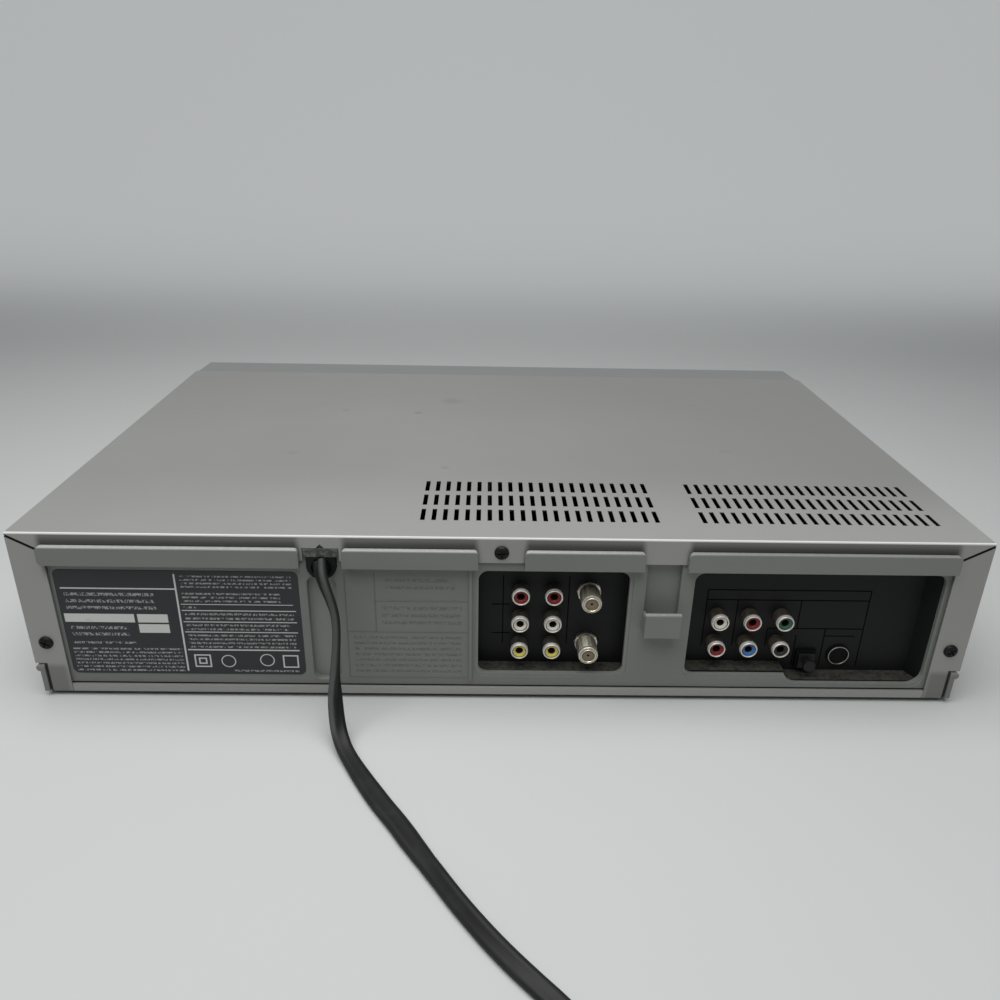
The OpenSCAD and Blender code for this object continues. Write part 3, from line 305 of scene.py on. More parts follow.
def satin_cover_paint():
    """Silver paint on sheet steel: cloudy and scuffed, with painted light and shade on its top, flanges,
    fold, tabs and gaps.
    """
    base = tuple(colours().cover)
    p = Paint("cover_paint", base, 0.40, metallic=0.5)
    x, y, z = p.xyz()
    p.vary(0.94, 1.04, p.step(p.noise(90, 4), 0.3, 0.7) * 0.6 + p.noise(0.35, 2) * 0.4)
    ragged = p.noise(1.6, 5, 0.7)
    wear_and_painted_light = p.step(p.noise(7, 6, 0.7, shift=(31, 7, 0)), 0.66, 0.78) * 0.25
    for sx, sy, radius, strength in SCUFFS:
        reach = p.math("SQRT", (x - sx) * (x - sx) * 0.4 + (y - sy) * (y - sy) * 0.5)
        wear_and_painted_light = wear_and_painted_light + p.step(reach + ragged * radius, radius * 1.25, radius * 0.55) * strength
    p.shade(0.55, wear_and_painted_light)
    # Painted light and shade on the top: brighter to the rear, darker to the front and to both sides
    p.shade(1.21, p.step(y, 60, 140) * 0.75)
    sides = p.step(x, 60, -215) * p.step(y, 130, 60) + p.step(x, 60, 215) * 0.35
    p.shade(0.86, p.step(y, 20, -120) * 0.6 + sides)
    # Painted shade on the rear flanges; edge wear with a painted highlight along the fold above them
    rear = p.step(y, 143.9, 144.1)
    p.shade(0.98, rear * p.step(z, 84.3, 83.9) * (0.4 + p.step(z, 7.2, 7.6) * 0.6))
    p.shade(2.87, rear * p.step(z, 84.3, 84.6))
    # The shade over the hood tabs
    over = 0
    for low, high in TAB_SPANS:
        over = over + p.band(x, low + 0.5, high - 0.5, 1.8)
    deep = p.step(z, 84.5, 84.1) * 0.46 + p.step(z, 84.2, 80.5) * 0.34
    p.lay(scaled(base, 0.06, 0.98, 0.92), over * deep * rear * p.step(z, 60, 70))
    # Painted shade in the open mitres at the upper corners
    across = p.math("ABSOLUTE", x)
    mitre_shade = p.band(z - (across - 200.5) * 0.552, 75.1, 76.5, 0.12) * p.step(across, 200.4, 201)
    p.shade(0.02, mitre_shade * rear * p.step(z, 84.2, 84.0))
    # Painted shade on the inside, seen through the slots
    inside = p.step(across, 214.4, 214.2) * p.step(z, 84.95, 84.8)
    inside = inside * p.step(y, 143.2, 143.0) * p.step(y, -112.5, -111)
    p.shade(0.12, inside * p.step(z, 1.2, 2.0))
    # Painted shade on the base's hooks at the lower corners, and in the gap beside them
    p.shade(0.60, p.step(z, 19, 15) * p.step(across, 199, 203) * p.step(y, 142, 143))
    p.shade(0.05, p.band(across, 209.6, 210.6, 0.15) * p.step(z, 18.2, 17.9) * rear)
    return p.finished(0.36 + p.noise(25, 3) * 0.10 + wear_and_painted_light * 0.2, p.noise(0.5, 3), 0.012, 0.5)


# Rows of raised dashes in the panel's bare field: x, x, z, z in millimetres, and how many rows
PANEL_ROWS = [(22, 53, 57.5, 64.5, 2), (19, 55, 39, 50.5, 3), (19, 68, 13, 34.5, 7)]


def rows_of_dashes(p, u, v, rows, size, shift):
    """Short dashes in even rows, in place of lines of small print."""
    u0, u1, v0, v1, count = rows
    pitch = (v1 - v0) / count
    row = p.band((v - v0) % pitch, pitch * 0.28, pitch * 0.72, pitch * 0.06)
    dash = p.step(p.noise(size, 2, 0.6, stretch=(1, 0, 0.55), shift=shift), 0.47, 0.52)
    edge = (u1 - u0) * 0.004
    return p.band(u, u0, u1, edge) * p.band(v, v0, v1, edge) * row * dash


def panel_painted_light_and_dashes(p):
    """The rear panel's painted highlights, painted light and shade, and raised dashes. Gives the mask of
    its raised dashes.
    """
    x, y, z = p.xyz()
    # Painted highlights along the top edges of the hood tabs and of the clip
    tabs = p.step(z, 78.8, 79.2) * p.step(y, 145.0, 145.4)
    clip = p.step(z, 49.7, 50.0) * p.step(z, 52, 51) * p.step(y, 148.5, 149)
    p.shade(2.3, tabs + clip)
    # Painted shade at the far end beside the flange, and painted light towards -X
    p.shade(0.72, p.step(x, -198.4, -199.2) * p.step(z, 70.3, 69.8))
    p.shade(1.1, p.step(x, 0, -120) * 0.8)
    # Painted light in the recesses, strongest in the cord channel
    recess = p.step(y, 143.4, 143.2) * p.step(z, 8, 9)
    p.shade(1.3, recess * (0.4 + p.band(x, 74.5, 90, 0.3) * 0.6))
    # Painted shade, in patches, on the bridge over the cord outlet
    bridge = p.band(x, 72.4, 88.4, 0.2) * p.step(z, 74.6, 74.9) * p.step(y, 144.7, 144.9)
    bridge_shade_patches = p.strongest(p.step(p.noise(2.2, 5, 0.7), 0.40, 0.56), p.band(x, 80.4, 82.2, 0.4))
    p.shade(0.16, bridge * (0.3 + bridge_shade_patches * 0.6))
    raised = 0
    for k, rows in enumerate(PANEL_ROWS):
        raised = raised + rows_of_dashes(p, x, z, rows, 1.1, (k * 9, 0, k * 17))
    raised = raised * p.step(y, 143.3, 143.4) * p.step(y, 144.2, 144.0)
    # The raised dashes are painted darker, as painted shade
    p.shade(0.60, raised * 0.6)
    return raised


def moulded_grey(name, base, rough, grain=0.45, dusty=0.0, print_wear_and_panel_light=False, specular=0.4):
    """Fine-grained moulded plastic with a trace of dust on its upper faces."""
    p = Paint(name, base, rough, specular=specular)
    height = speck = p.noise(grain, 3)
    cloud = p.noise(35, 3)
    p.vary(0.93, 1.06, p.step(cloud, 0.3, 0.7) * 0.5 + speck * 0.5)
    # The rear panel gets its painted highlights, painted light and shade, and its dashes
    if print_wear_and_panel_light:
        height = speck + panel_painted_light_and_dashes(p) * 9
    if dusty:
        settled = p.step(p.facing("Z"), 0.35, 0.95) * p.step(p.noise(2.2, 5, 0.65), 0.25, 0.6) * dusty
        p.lay(tuple(colours().dust), settled)
        rough = rough + settled * (0.95 - rough)
    else:
        rough = rough - 0.05 + cloud * 0.1
    return p.finished(rough, height, 0.03, 0.6)


def silver_front_paint():
    p = Paint("front_paint", tuple(colours().front), 0.34, metallic=0.45, coat=0.15)
    p.vary(0.94, 1.06, p.noise(0.3, 2))
    return p.finished(0.30 + p.noise(30, 3) * 0.10, p.noise(0.45, 2), 0.008, 0.4)


def plated(name, base, rough, tarnish):
    """Plated metal with tarnish in patches."""
    p = Paint(name, base, rough, metallic=1.0)
    stain = p.step(p.noise(3.5, 5, 0.65), 0.42, 0.68) * tarnish
    p.shade(0.55, stain)
    return p.finished(rough + stain * 0.35 + p.noise(0.6, 2) * 0.05, p.noise(0.8, 3), 0.006, 0.5)


def zinc_sheet(name, base, rough=0.38):
    """Plated sheet steel with a faint rolled grain."""
    p = Paint(name, base, rough, metallic=0.9)
    grain = p.noise(0.8, 3, 0.5, stretch=(0.08, 1, 1))
    p.vary(0.85, 1.08, p.noise(18, 4) * 0.7 + grain * 0.3)
    return p.finished(rough - 0.06 + grain * 0.14, grain, 0.008, 0.5)


def glossy_plastic(name, base, rough=0.22):
    p = Paint(name, base, rough, coat=0.2)
    p.vary(0.94, 1.06, p.noise(2.5, 3))
    return p.finished(rough + p.noise(6, 4) * 0.15, p.noise(0.5, 2), 0.006, 0.4)


def insert_plastic(name, base, front):
    """Coloured jack insert with painted shade in its bore. The front jacks' faces stand at front, in
    millimetres.
    """
    p = Paint(name, base, 0.36, specular=0.35)
    x, y, z = p.xyz()
    # Painted shade: deep in the bore and on its walls the insert is laid near black
    rear_bore_shade = p.step(y, 139.6, 138.8) * p.step(y, 0, 10)
    front_bore_shade = p.step(y, front + 1.4, front + 2.2) * p.step(y, 10, 0)
    wall = p.step(p.math("ABSOLUTE", p.facing("Y")), 0.5, 0.25)
    bore = p.strongest(wall, rear_bore_shade + front_bore_shade)
    cloud = p.noise(1.5, 3)
    p.vary(0.85, 1.12, cloud)
    p.lay((min(0.022, 0.005 + base[0] * 0.14), 0.004, 0.004), bore * 0.97)
    return p.finished(0.34 + cloud * 0.12, p.noise(0.5, 2), 0.006, 0.4)


def jack_shell_metal(name, base):
    """Nickel shell on a barrel of black plastic at the tape deck, and of stained metal elsewhere."""
    p = Paint(name, base, 0.30, metallic=1.0)
    x, y, z = p.xyz()
    tape_side = p.step(x, -70, -60)
    barrel = p.step(y, 139.1, 138.9) * p.step(y, 0, 10)
    stain = p.step(p.noise(3.0, 5, 0.65), 0.40, 0.66) * 0.6
    foot = p.strongest(tape_side, p.step(y, 134.6, 134.2))
    dull = p.mix((0.135, 0.118, 0.092), (0.120, 0.110, 0.088), foot)
    p.tone = p.mix(scaled(base, 1.25), scaled(base, 0.8, 0.95, 0.85), stain)
    p.lay(p.mix(dull, (0.010, 0.010, 0.009), stain), barrel)
    p.set("Metallic", 0.55 - barrel * 0.15)
    return p.finished(0.42 + stain * 0.15 - barrel * 0.06, p.noise(0.8, 3), 0.006, 0.5)


def threaded_metal(name, base, middles):
    """Nickel with grime in its thread, painted shade on its flanges' tops and dark lengthwise streaks of
    tarnish and painted reflection. The connectors' axes stand at middles, x and z in millimetres.
    """
    p = Paint(name, base, 0.28, metallic=0.8)
    x, y, z = p.xyz()
    reach = 100
    shaded = 0
    for mx, mz in middles:
        reach = p.math("MINIMUM", reach, p.reach(x - mx, z - mz))
        shaded = shaded + p.band(z, mz + 4.2, mz + 9, 0.8)
    # Painted shade on the tops of the flanges
    shaded = shaded * p.step(y, 134.7, 134.3) * 0.85
    thread = p.step(reach, 4.70, 4.56) * p.step(reach, 4.4, 4.5)
    groove = p.strongest(thread, p.band(reach, 3.56, 3.95, 0.06))
    # Dark lengthwise streaks: tarnish, and a painted reflection along the tube
    tarnish_and_reflection_streaks = p.step(p.noise(2.6, 4, 0.65, stretch=(1, 0.05, 1)), 0.44, 0.56)
    stain = tarnish_and_reflection_streaks * p.step(y, 144.0, 143.6) * 0.75
    p.lay(scaled(base, 0.22, 0.93, 0.78), p.strongest(groove * 0.35, stain, shaded))
    return p.finished(0.24 + groove * 0.3 + stain * 0.2, p.noise(0.7, 3), 0.008, 0.5)


def insulator_tan(name, base, middles):
    """Tan insulator with painted shade in the socket at its middle."""
    p = Paint(name, base, 0.5, specular=0.3)
    x, y, z = p.xyz()
    socket = 0
    for mx, mz in middles:
        socket = socket + p.step(p.reach(x - mx, z - mz), 0.62, 0.52)
    cloud = p.noise(2, 3)
    p.vary(0.8, 1.2, cloud)
    # Painted shade: the socket at each middle is laid near black
    p.lay((0.008, 0.007, 0.006), socket)
    return p.finished(0.45 + cloud * 0.15, p.noise(0.5, 2), 0.006, 0.4)


def rubber(name, base):
    p = Paint(name, base, 0.62, specular=0.35)
    bloom = p.step(p.noise(6, 4, 0.6), 0.5, 0.75)
    p.shade(1.8, bloom * 0.5)
    return p.finished(0.62 + bloom * 0.15, p.noise(0.5, 3), 0.02, 0.6)


def circuit_board(name, base, copper):
    """Laminate with tracks under its lacquer."""
    p = Paint(name, base, 0.35, coat=0.3)
    x, y, z = p.xyz()
    cell = p.noise(14, 1, 0.3)
    across = p.band((x + cell * 40) % 3.1, 0.9, 1.6, 0.12) * p.step(cell, 0.48, 0.52)
    along = p.band((y + z + cell * 55) % 3.7, 1.1, 1.8, 0.12) * p.step(cell, 0.52, 0.48)
    track = p.strongest(across, along)
    p.lay(copper, track)
    return p.finished(0.30 + p.noise(8, 2) * 0.12, track, 0.03, 0.5)


# The label's print: rules and boxes as shares of its width (u) and height (v, from the top)
LABEL_RULES = [(0.02, 0.49, 0.171, 0.012), (0.505, 0.97, 0.313, 0.006), (0.505, 0.98, 0.372, 0.008),
               (0.505, 0.98, 0.481, 0.008), (0.505, 0.98, 0.580, 0.008),
               (0.505, 0.98, 0.756, 0.012)]
LABEL_BOXES = [(0.012, 0.302, 0.412, 0.492), (0.315, 0.442, 0.412, 0.492),
               (0.315, 0.442, 0.508, 0.592)]
LABEL_FRAMES = [(0.527, 0.598, 0.803, 0.930), (0.545, 0.580, 0.835, 0.898),
                (0.905, 0.972, 0.803, 0.930)]
LABEL_RINGS = [(0.672, 0.868), (0.838, 0.855)]
LABEL_TEXTS = [(0.03, 0.40, 0.195, 0.385, 3), (0.03, 0.27, 0.515, 0.640, 2),
               (0.03, 0.29, 0.670, 0.715, 1), (0.02, 0.48, 0.735, 0.985, 7),
               (0.515, 0.97, 0.035, 0.165, 4), (0.515, 0.92, 0.195, 0.300, 3),
               (0.515, 0.57, 0.322, 0.362, 1), (0.515, 0.97, 0.385, 0.470, 2),
               (0.515, 0.95, 0.493, 0.572, 2), (0.515, 0.97, 0.595, 0.745, 4),
               (0.69, 0.97, 0.945, 0.985, 1)]
# The label's width and height, and the inner and outer radius of its rings, in millimetres
LABEL_WIDE, LABEL_TALL = 107.6, 54.7
RING_RADII = (2.9, 3.35)


def label_film(low, high):
    """Dark film with plain rules, boxes and rows of short dashes where print would be."""
    p = Paint("label_film", tuple(colours().label), 0.36, specular=0.35)
    x, y, z = p.xyz()
    u = (high.x / MM - x) * (MM / (high.x - low.x))
    v = (high.z / MM - z) * (MM / (high.z - low.z))

    def box(u0, u1, v0, v1):
        soft = 0.0015
        return p.band(u, u0, u1, soft) * p.band(v, v0, v1, soft)

    shapes = [box(u0, u1, at - thick / 2, at + thick / 2) for u0, u1, at, thick in LABEL_RULES]
    shapes.append(box(0.490, 0.497, 0.03, 0.97))
    shapes += [box(*sides) for sides in LABEL_BOXES]
    for u0, u1, v0, v1 in LABEL_FRAMES:
        shapes.append(box(u0, u1, v0, v1) * (1 - box(u0 + 0.006, u1 - 0.006, v0 + 0.012, v1 - 0.012)))
    for cu, cv in LABEL_RINGS:
        shapes.append(p.band(p.reach((u - cu) * LABEL_WIDE, (v - cv) * LABEL_TALL), *RING_RADII, 0.12))
    for rows in LABEL_TEXTS:
        shapes.append(rows_of_dashes(p, u, v, rows, 0.9, (rows[0] * 90, 0, rows[2] * 70)) * 0.5)
    print_wear_and_panel_light = 1 - p.step(p.noise(5, 4, 0.6), 0.62, 0.75) * 0.35
    p.vary(0.85, 1.2, p.noise(12, 3))
    p.lay(tuple(colours().label_print), p.strongest(*shapes) * print_wear_and_panel_light)
    return p.finished(0.28 + p.noise(4, 3) * 0.14, p.noise(1.5, 2), 0.01, 0.4)


# ---------------------------------------------------------------- modelling


def release():
    """Leaves edit mode and deselects everything."""
    if bpy.context.object and bpy.context.object.mode != "OBJECT":
        bpy.ops.object.mode_set(mode="OBJECT")
    bpy.ops.object.select_all(action="DESELECT")


def choose(piece):
    release()
    piece.select_set(True)
    bpy.context.view_layer.objects.active = piece


def edit(piece, kind="FACE", test=None):
    """Enters edit mode with all selected, or only the edges whose two ends pass a test."""
    choose(piece)
    bpy.ops.object.mode_set(mode="EDIT")
    bpy.ops.mesh.select_mode(type=kind)
    bpy.ops.mesh.select_all(action="DESELECT" if test else "SELECT")
    if test:
        bpy.ops.object.mode_set(mode="OBJECT")
        for e in piece.data.edges:
            e.select = all(test(piece.data.vertices[i].co) for i in e.vertices)
        bpy.ops.object.mode_set(mode="EDIT")


def settle(piece, name):
    """Names a piece and puts its place into its mesh."""
    choose(piece)
    bpy.ops.object.transform_apply(location=True, rotation=True, scale=True)
    piece.name = name
    piece.data.name = name
    return piece


def placed(name, mesh):
    """A new object for a mesh."""
    piece = bpy.data.objects.new(name, mesh)
    bpy.context.scene.collection.objects.link(piece)
    return piece


def smooth(piece, degrees):
    choose(piece)
    bpy.ops.object.shade_smooth_by_angle(angle=math.radians(degrees))


def apply(piece, kind, **settings):
    """Adds a modifier with its settings and applies it."""
    choose(piece)
    modifier = piece.modifiers.new("shaping", kind)
    for name, value in settings.items():
        setattr(modifier, name, value)
    bpy.ops.object.modifier_apply(modifier=modifier.name)


def close_mesh(piece):
    """Merges doubles and turns the faces outwards."""
    edit(piece, "VERT")
    bpy.ops.mesh.remove_doubles(threshold=1e-7)
    bpy.ops.mesh.normals_make_consistent(inside=False)
    release()


def round_edges(piece, width, segments=2):
    sharp = 30
    apply(piece, "BEVEL", width=width, segments=segments, limit_method="ANGLE",
          angle_limit=math.radians(sharp), use_clamp_overlap=True)
    smooth(piece, sharp)
    apply(piece, "WEIGHTED_NORMAL", weight=100, keep_sharp=True)
    return piece


def coat(piece, material):
    """Gives a piece or a CAD node its only material."""
    piece.data.materials.clear()
    piece.data.materials.append(material)


def finish(piece, material, replaces=(), body="root"):
    """Gives a finished piece its material, its body and the nodes that it stands for."""
    coat(piece, material)
    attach(piece, body)
    for node in replaces:
        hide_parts(node)
    return piece


def round_tabs(piece):
    """Rounds the hood tabs' outer edges, which stand out furthest except for the clip."""
    front = max(v.co.y for v in piece.data.vertices if abs(v.co.x) > 0.1)
    edit(piece, "EDGE", lambda c: abs(c.y - front) < 1e-5)
    bpy.ops.mesh.bevel(offset=sizes().tab_edge, segments=4, affect="EDGES", clamp_overlap=True)
    release()


def shell(node, width, material, segments=2, body="root"):
    """A finished copy of a node with its edges rounded as the real part's are."""
    piece = placed(node + "_shell", frame["nodes"][node].data.copy())
    edit(piece, "VERT")
    bpy.ops.mesh.remove_doubles(threshold=2e-6)
    bpy.ops.mesh.dissolve_limited(angle_limit=math.radians(0.4))
    release()
    if node == "rear_panel":
        round_tabs(piece)
    return finish(round_edges(piece, width, segments), material, (node,), body)


def block(name, low, high):
    """A box between two corners, in metres."""
    release()
    low, high = Vector(low), Vector(high)
    bpy.ops.mesh.primitive_cube_add(size=1, location=(low + high) / 2)
    piece = bpy.context.object
    piece.scale = high - low
    return settle(piece, name)


def extrude(shift):
    bpy.ops.mesh.extrude_region_move(TRANSFORM_OT_translate={"value": shift})


def turned(name, start, steps, sides, way=1, fill=True):
    """A disc drawn out along Y, by way 1 or -1, through (distance, radius) steps in millimetres."""
    release()
    first, radius = steps[0]
    centre = Vector(start) + Vector((0, way * first * MM, 0))
    fill_type = "NGON" if fill else "NOTHING"
    bpy.ops.mesh.primitive_circle_add(vertices=sides, radius=radius * MM, fill_type=fill_type,
                                      location=centre, rotation=(-way * math.pi / 2, 0, 0))
    piece = settle(bpy.context.object, name)
    edit(piece, "FACE" if fill else "EDGE")
    for distance, new_radius in steps[1:]:
        shift = Vector((0, way * (distance - first) * MM, 0))
        centre = centre + shift
        extrude(shift)
        wide = new_radius / radius
        bpy.ops.transform.resize(value=(wide, 1, wide), center_override=centre)
        first, radius = distance, new_radius
    close_mesh(piece)
    smooth(piece, 35)
    return piece


def moved_copy(piece, shift):
    """A copy with its own mesh, moved by shift."""
    other = placed(piece.name, piece.data.copy())
    other.location = shift
    return settle(other, piece.name)


def discard(*pieces):
    for piece in pieces:
        bpy.data.objects.remove(piece)


def joined(pieces, name):
    release()
    for piece in pieces:
        piece.select_set(True)
    bpy.context.view_layer.objects.active = pieces[0]
    if len(pieces) > 1:
        bpy.ops.object.join()
    return settle(bpy.context.object, name)


def middle_at(y, low, high):
    """The middle of a box as seen along Y, at the given y."""
    return Vector(((low.x + high.x) / 2, y, (low.z + high.z) / 2))


def solids(node):
    """The low and high corners of each solid of a CAD node."""
    mesh = frame["nodes"][node].data
    boxes = []
    for face in mesh.polygons:
        spots = [mesh.vertices[i].co for i in face.vertices]
        low = [min(c[k] for c in spots) for k in range(3)]
        high = [max(c[k] for c in spots) for k in range(3)]
        apart = []
        for a, b in boxes:
            if all(low[k] <= b[k] + 1e-5 and a[k] <= high[k] + 1e-5 for k in range(3)):
                low, high = list(map(min, low, a)), list(map(max, high, b))
            else:
                apart.append((a, b))
        boxes = apart + [(low, high)]
    return [(Vector(a), Vector(b)) for a, b in boxes]


# ---------------------------------------------------------------- stage

# The camera's place in metres and its turns in degrees
CAMERA_AT = (0.009037, 0.467172, 0.247467)
CAMERA_TURNS = (65.873, -1.079, 179.350)
# The lamp's place, its width and depth, and the point that it faces, in metres
LAMP_AT = (0.08, 0.25, 0.80)
LAMP_SIDES = (0.85, 0.85)
LAMP_AIM = (0, 0, 0.04)


class PLAYER_OT_stage(bpy.types.Operator):
    """Camera, pale floor with its backdrop, and soft lights"""

    bl_idname = "player.stage"
    bl_label = "Stage"

    def execute(self, context):
        stage = context.scene.player_stage
        release()
        bpy.ops.object.camera_add(location=CAMERA_AT, rotation=[math.radians(a) for a in CAMERA_TURNS])
        camera = context.object
        camera.name = "camera"
        camera.data.sensor_width = 36
        camera.data.lens = stage.lens
        camera.data.clip_start = 0.01
        context.scene.camera = camera
        self.floor(stage)
        self.lamp(stage)
        self.sky(context.scene, stage)
        context.scene.view_settings.view_transform = "Standard"
        return {"FINISHED"}

    def sky(self, scene, stage):
        """A dim even light from all round, which shows as pale as the backdrop."""
        if scene.world is None:
            scene.world = bpy.data.worlds.new("sky")
        scene.world.use_nodes = True
        nodes = Nodes(scene.world.node_tree)
        light = nodes.tree.nodes["Background"]
        nodes.feed(light.inputs["Color"], (0.93, 0.96, 1.0))
        nodes.feed(light.inputs["Strength"], stage.sky)
        shown = nodes.node("ShaderNodeBackground", None, {"Color": scaled(stage.glow, 0.87)})
        both = {0: nodes.seen(), 1: Value(nodes, light.outputs[0]), 2: shown}
        surface = nodes.tree.nodes["World Output"].inputs["Surface"]
        nodes.feed(surface, nodes.node("ShaderNodeMixShader", None, both))

    def floor(self, stage):
        """A floor that bends up into a backdrop behind the object."""
        release()
        bpy.ops.mesh.primitive_plane_add(size=1, location=(0, 0.9, 0))
        floor = bpy.context.object
        floor.scale = (16, 3.6, 1)
        settle(floor, "floor")
        edit(floor, "EDGE", lambda c: c.y < 0)
        steps, radius, wall = 12, 0.7, 2.4
        turn = math.pi / 2 / steps
        for i in range(steps):
            a = turn * (i + 0.5)
            extrude((0, -radius * turn * math.cos(a), radius * turn * math.sin(a)))
        extrude((0, 0, wall))
        release()
        choose(floor)
        bpy.ops.object.shade_smooth()
        p = Paint("pale_floor", tuple(stage.floor), 0.75, specular=0.2)
        x, y, z = p.xyz()
        p.lay(tuple(stage.wall), p.step(y, -500, -1400))
        p.lay(tuple(stage.wall), p.noise(160, 3) * 0.03)
        p.set("Base Color", p.tone)
        glow = p.node("ShaderNodeEmission", None, {"Color": tuple(stage.glow)})
        away = p.strongest(p.step(y, -450, -1300), p.step(p.reach(x, y), 800, 1700))
        both = {0: p.seen() * away * 0.85, 1: Value(p, p.surface.outputs[0]), 2: glow}
        surface = p.tree.nodes["Material Output"].inputs["Surface"]
        p.feed(surface, p.node("ShaderNodeMixShader", None, both))
        coat(floor, p.material)

    def lamp(self, stage):
        release()
        bpy.ops.object.light_add(type="AREA", location=LAMP_AT)
        lamp = bpy.context.object
        lamp.name = "lamp_overhead"
        aim = Vector(LAMP_AIM) - Vector(LAMP_AT)
        lamp.rotation_euler = aim.to_track_quat("-Z", "Y").to_euler()
        lamp.data.shape = "RECTANGLE"
        lamp.data.size, lamp.data.size_y = LAMP_SIDES
        lamp.data.energy = stage.lamp


# ---------------------------------------------------------------- cord

# Centre line of the cord from its outlet to the coil, in millimetres
ROUTE = [
    (81, 145.2, 73), (80, 149, 69.5), (78, 152, 64.5), (75.5, 154.5, 59), (73.5, 156.5, 52),
    (73, 159, 43), (73.4, 162, 34), (73.6, 166, 25), (73, 171, 17), (71.3, 177, 10.2),
    (68, 184, 6), (62.9, 192.6, 4.4), (56.1, 203.4, 4), (48.7, 214.4, 4), (41.0, 224.9, 4),
    (34.4, 234.8, 4), (28.4, 244, 4), (22.5, 252.8, 4), (16.7, 261.1, 4), (10.7, 269, 4),
    (4.5, 276.6, 4), (-2, 283.8, 4), (-8.7, 290.6, 4), (-15.4, 297.2, 4), (-22.2, 304.5, 4),
    (-29.4, 312.5, 4), (-37.8, 320.5, 4), (-46.2, 328.5, 4), (-54.2, 336.2, 4),
]
# The coil's middle and the middle radius of its turns
COIL_AT = Vector((-26, 364, 0))
COIL_R = 36
# The columns and layers that its turns lie in: 1 outside and -1 inside, then how many turns lie below
COIL_SLOTS = [(1, 0), (-1, 0), (-1, 1), (1, 1), (1, 2), (1, 2), (1, 2)]
# Where the cord meets the plug, from the coil's middle, and how many degrees before it leaves its turns
COIL_END = Vector((-36, -16, 18.5))
COIL_LEAVES = 80
# Which way the flat cord's width points while it hangs: height, degrees from +X
TWIST = [(0, 37), (8, 40), (12, 44), (18, 52), (24, 78), (29, 90), (38, 97), (46, 101), (52, 107),
         (58, 117), (66, 128), (80, 136)]
# How far it is rolled up from the floor: y, degrees
ROLL = [(180, 0), (200, 8), (225, 0), (234, 0), (252, 38), (268, 42), (286, 24), (305, 0), (500, 0)]
# How much wider it lies where it is pressed flat: y, share
SPREAD = [(190, 0), (210, 0.18), (232, 0.20), (244, 0), (500, 0)]


def between(table, at):
    """The value at a place in a table of (place, value)."""
    for (a, low), (b, high) in zip(table, table[1:]):
        if at <= b:
            return low + (high - low) * max(0, at - a) / (b - a)
    return table[-1][1]


def smooth_line(points, per_span):
    """Points on a curve through the given points."""
    line = []
    last = len(points) - 1
    for i in range(last):
        a, b, c, d = (Vector(points[min(max(k, 0), last)]) for k in (i - 1, i, i + 1, i + 2))
        for k in range(per_span):
            t = k / per_span
            line.append(0.5 * (2 * b + (c - a) * t + (2 * a - 5 * b + 4 * c - d) * t ** 2
                               + (3 * b - a - 3 * c + d) * t ** 3))
    line.append(Vector(points[-1]))
    return line


def ease(t):
    t = min(max(t, 0), 1)
    return t * t * (3 - 2 * t)


def heading(line, i):
    """Which way a line runs at one of its points."""
    return (line[min(i + 1, len(line) - 1)] - line[max(i - 1, 0)]).normalized()


def squared(way, ahead):
    """A direction turned square to the way ahead."""
    return (way - ahead * way.dot(ahead)).normalized()


def flat_cord(width, thick, turns):
    """Centre line and width direction of the flat cord, in millimetres."""
    half = (width - thick) / 2 * 1.02
    rise = thick / 2
    line = smooth_line(ROUTE, 4)
    points, ways = [], []
    for i, p in enumerate(line):
        ahead = heading(line, i)
        twist, roll = math.radians(between(TWIST, p.z)), math.radians(between(ROLL, p.y))
        hung = Vector((math.cos(twist), math.sin(twist), 0))
        level = Vector((ahead.y, -ahead.x, 0)).normalized()
        laid = level * math.cos(roll) - Vector((0, 0, math.sin(roll)))
        down = ease((12 - p.z) / 8)
        way = squared(hung * (1 - down) + laid * down, ahead)
        lie = rise + half * abs(way.z)
        height = p.z + (lie - ROUTE[-1][2]) * ease((25 - p.z) / 21)
        points.append(Vector((p.x, p.y, max(height, lie))))
        ways.append(way)
    # Then round the coil, where each turn changes to the next slot over its last quarter
    whole, per_turn = 2 * math.pi, 48
    first = points[-1] - COIL_AT
    start = math.atan2(first.y, first.x)
    sweep = turns * whole + (start - math.atan2(COIL_END.y, COIL_END.x)) % whole
    count = turns * per_turn
    for k in range(1, count + 1):
        gone = sweep * k / count
        turn, part = divmod(gone / whole, 1)
        near, far = COIL_SLOTS[int(turn)], COIL_SLOTS[int(turn) + 1]
        blend = ease((part - 0.75) / 0.25)
        column, layer = (a + (b - a) * blend for a, b in zip(near, far))
        radius = COIL_R + width / 2 * column
        z = rise + thick * layer
        leave = ease((gone - sweep) / math.radians(COIL_LEAVES) + 1)
        radius += (math.hypot(COIL_END.x, COIL_END.y) - radius) * leave
        z += (COIL_END.z - z) * leave
        out = Vector((math.cos(start - gone), math.sin(start - gone), 0))
        points.append(COIL_AT + out * radius + Vector((0, 0, z)))
        ways.append(-out)
    return points, ways


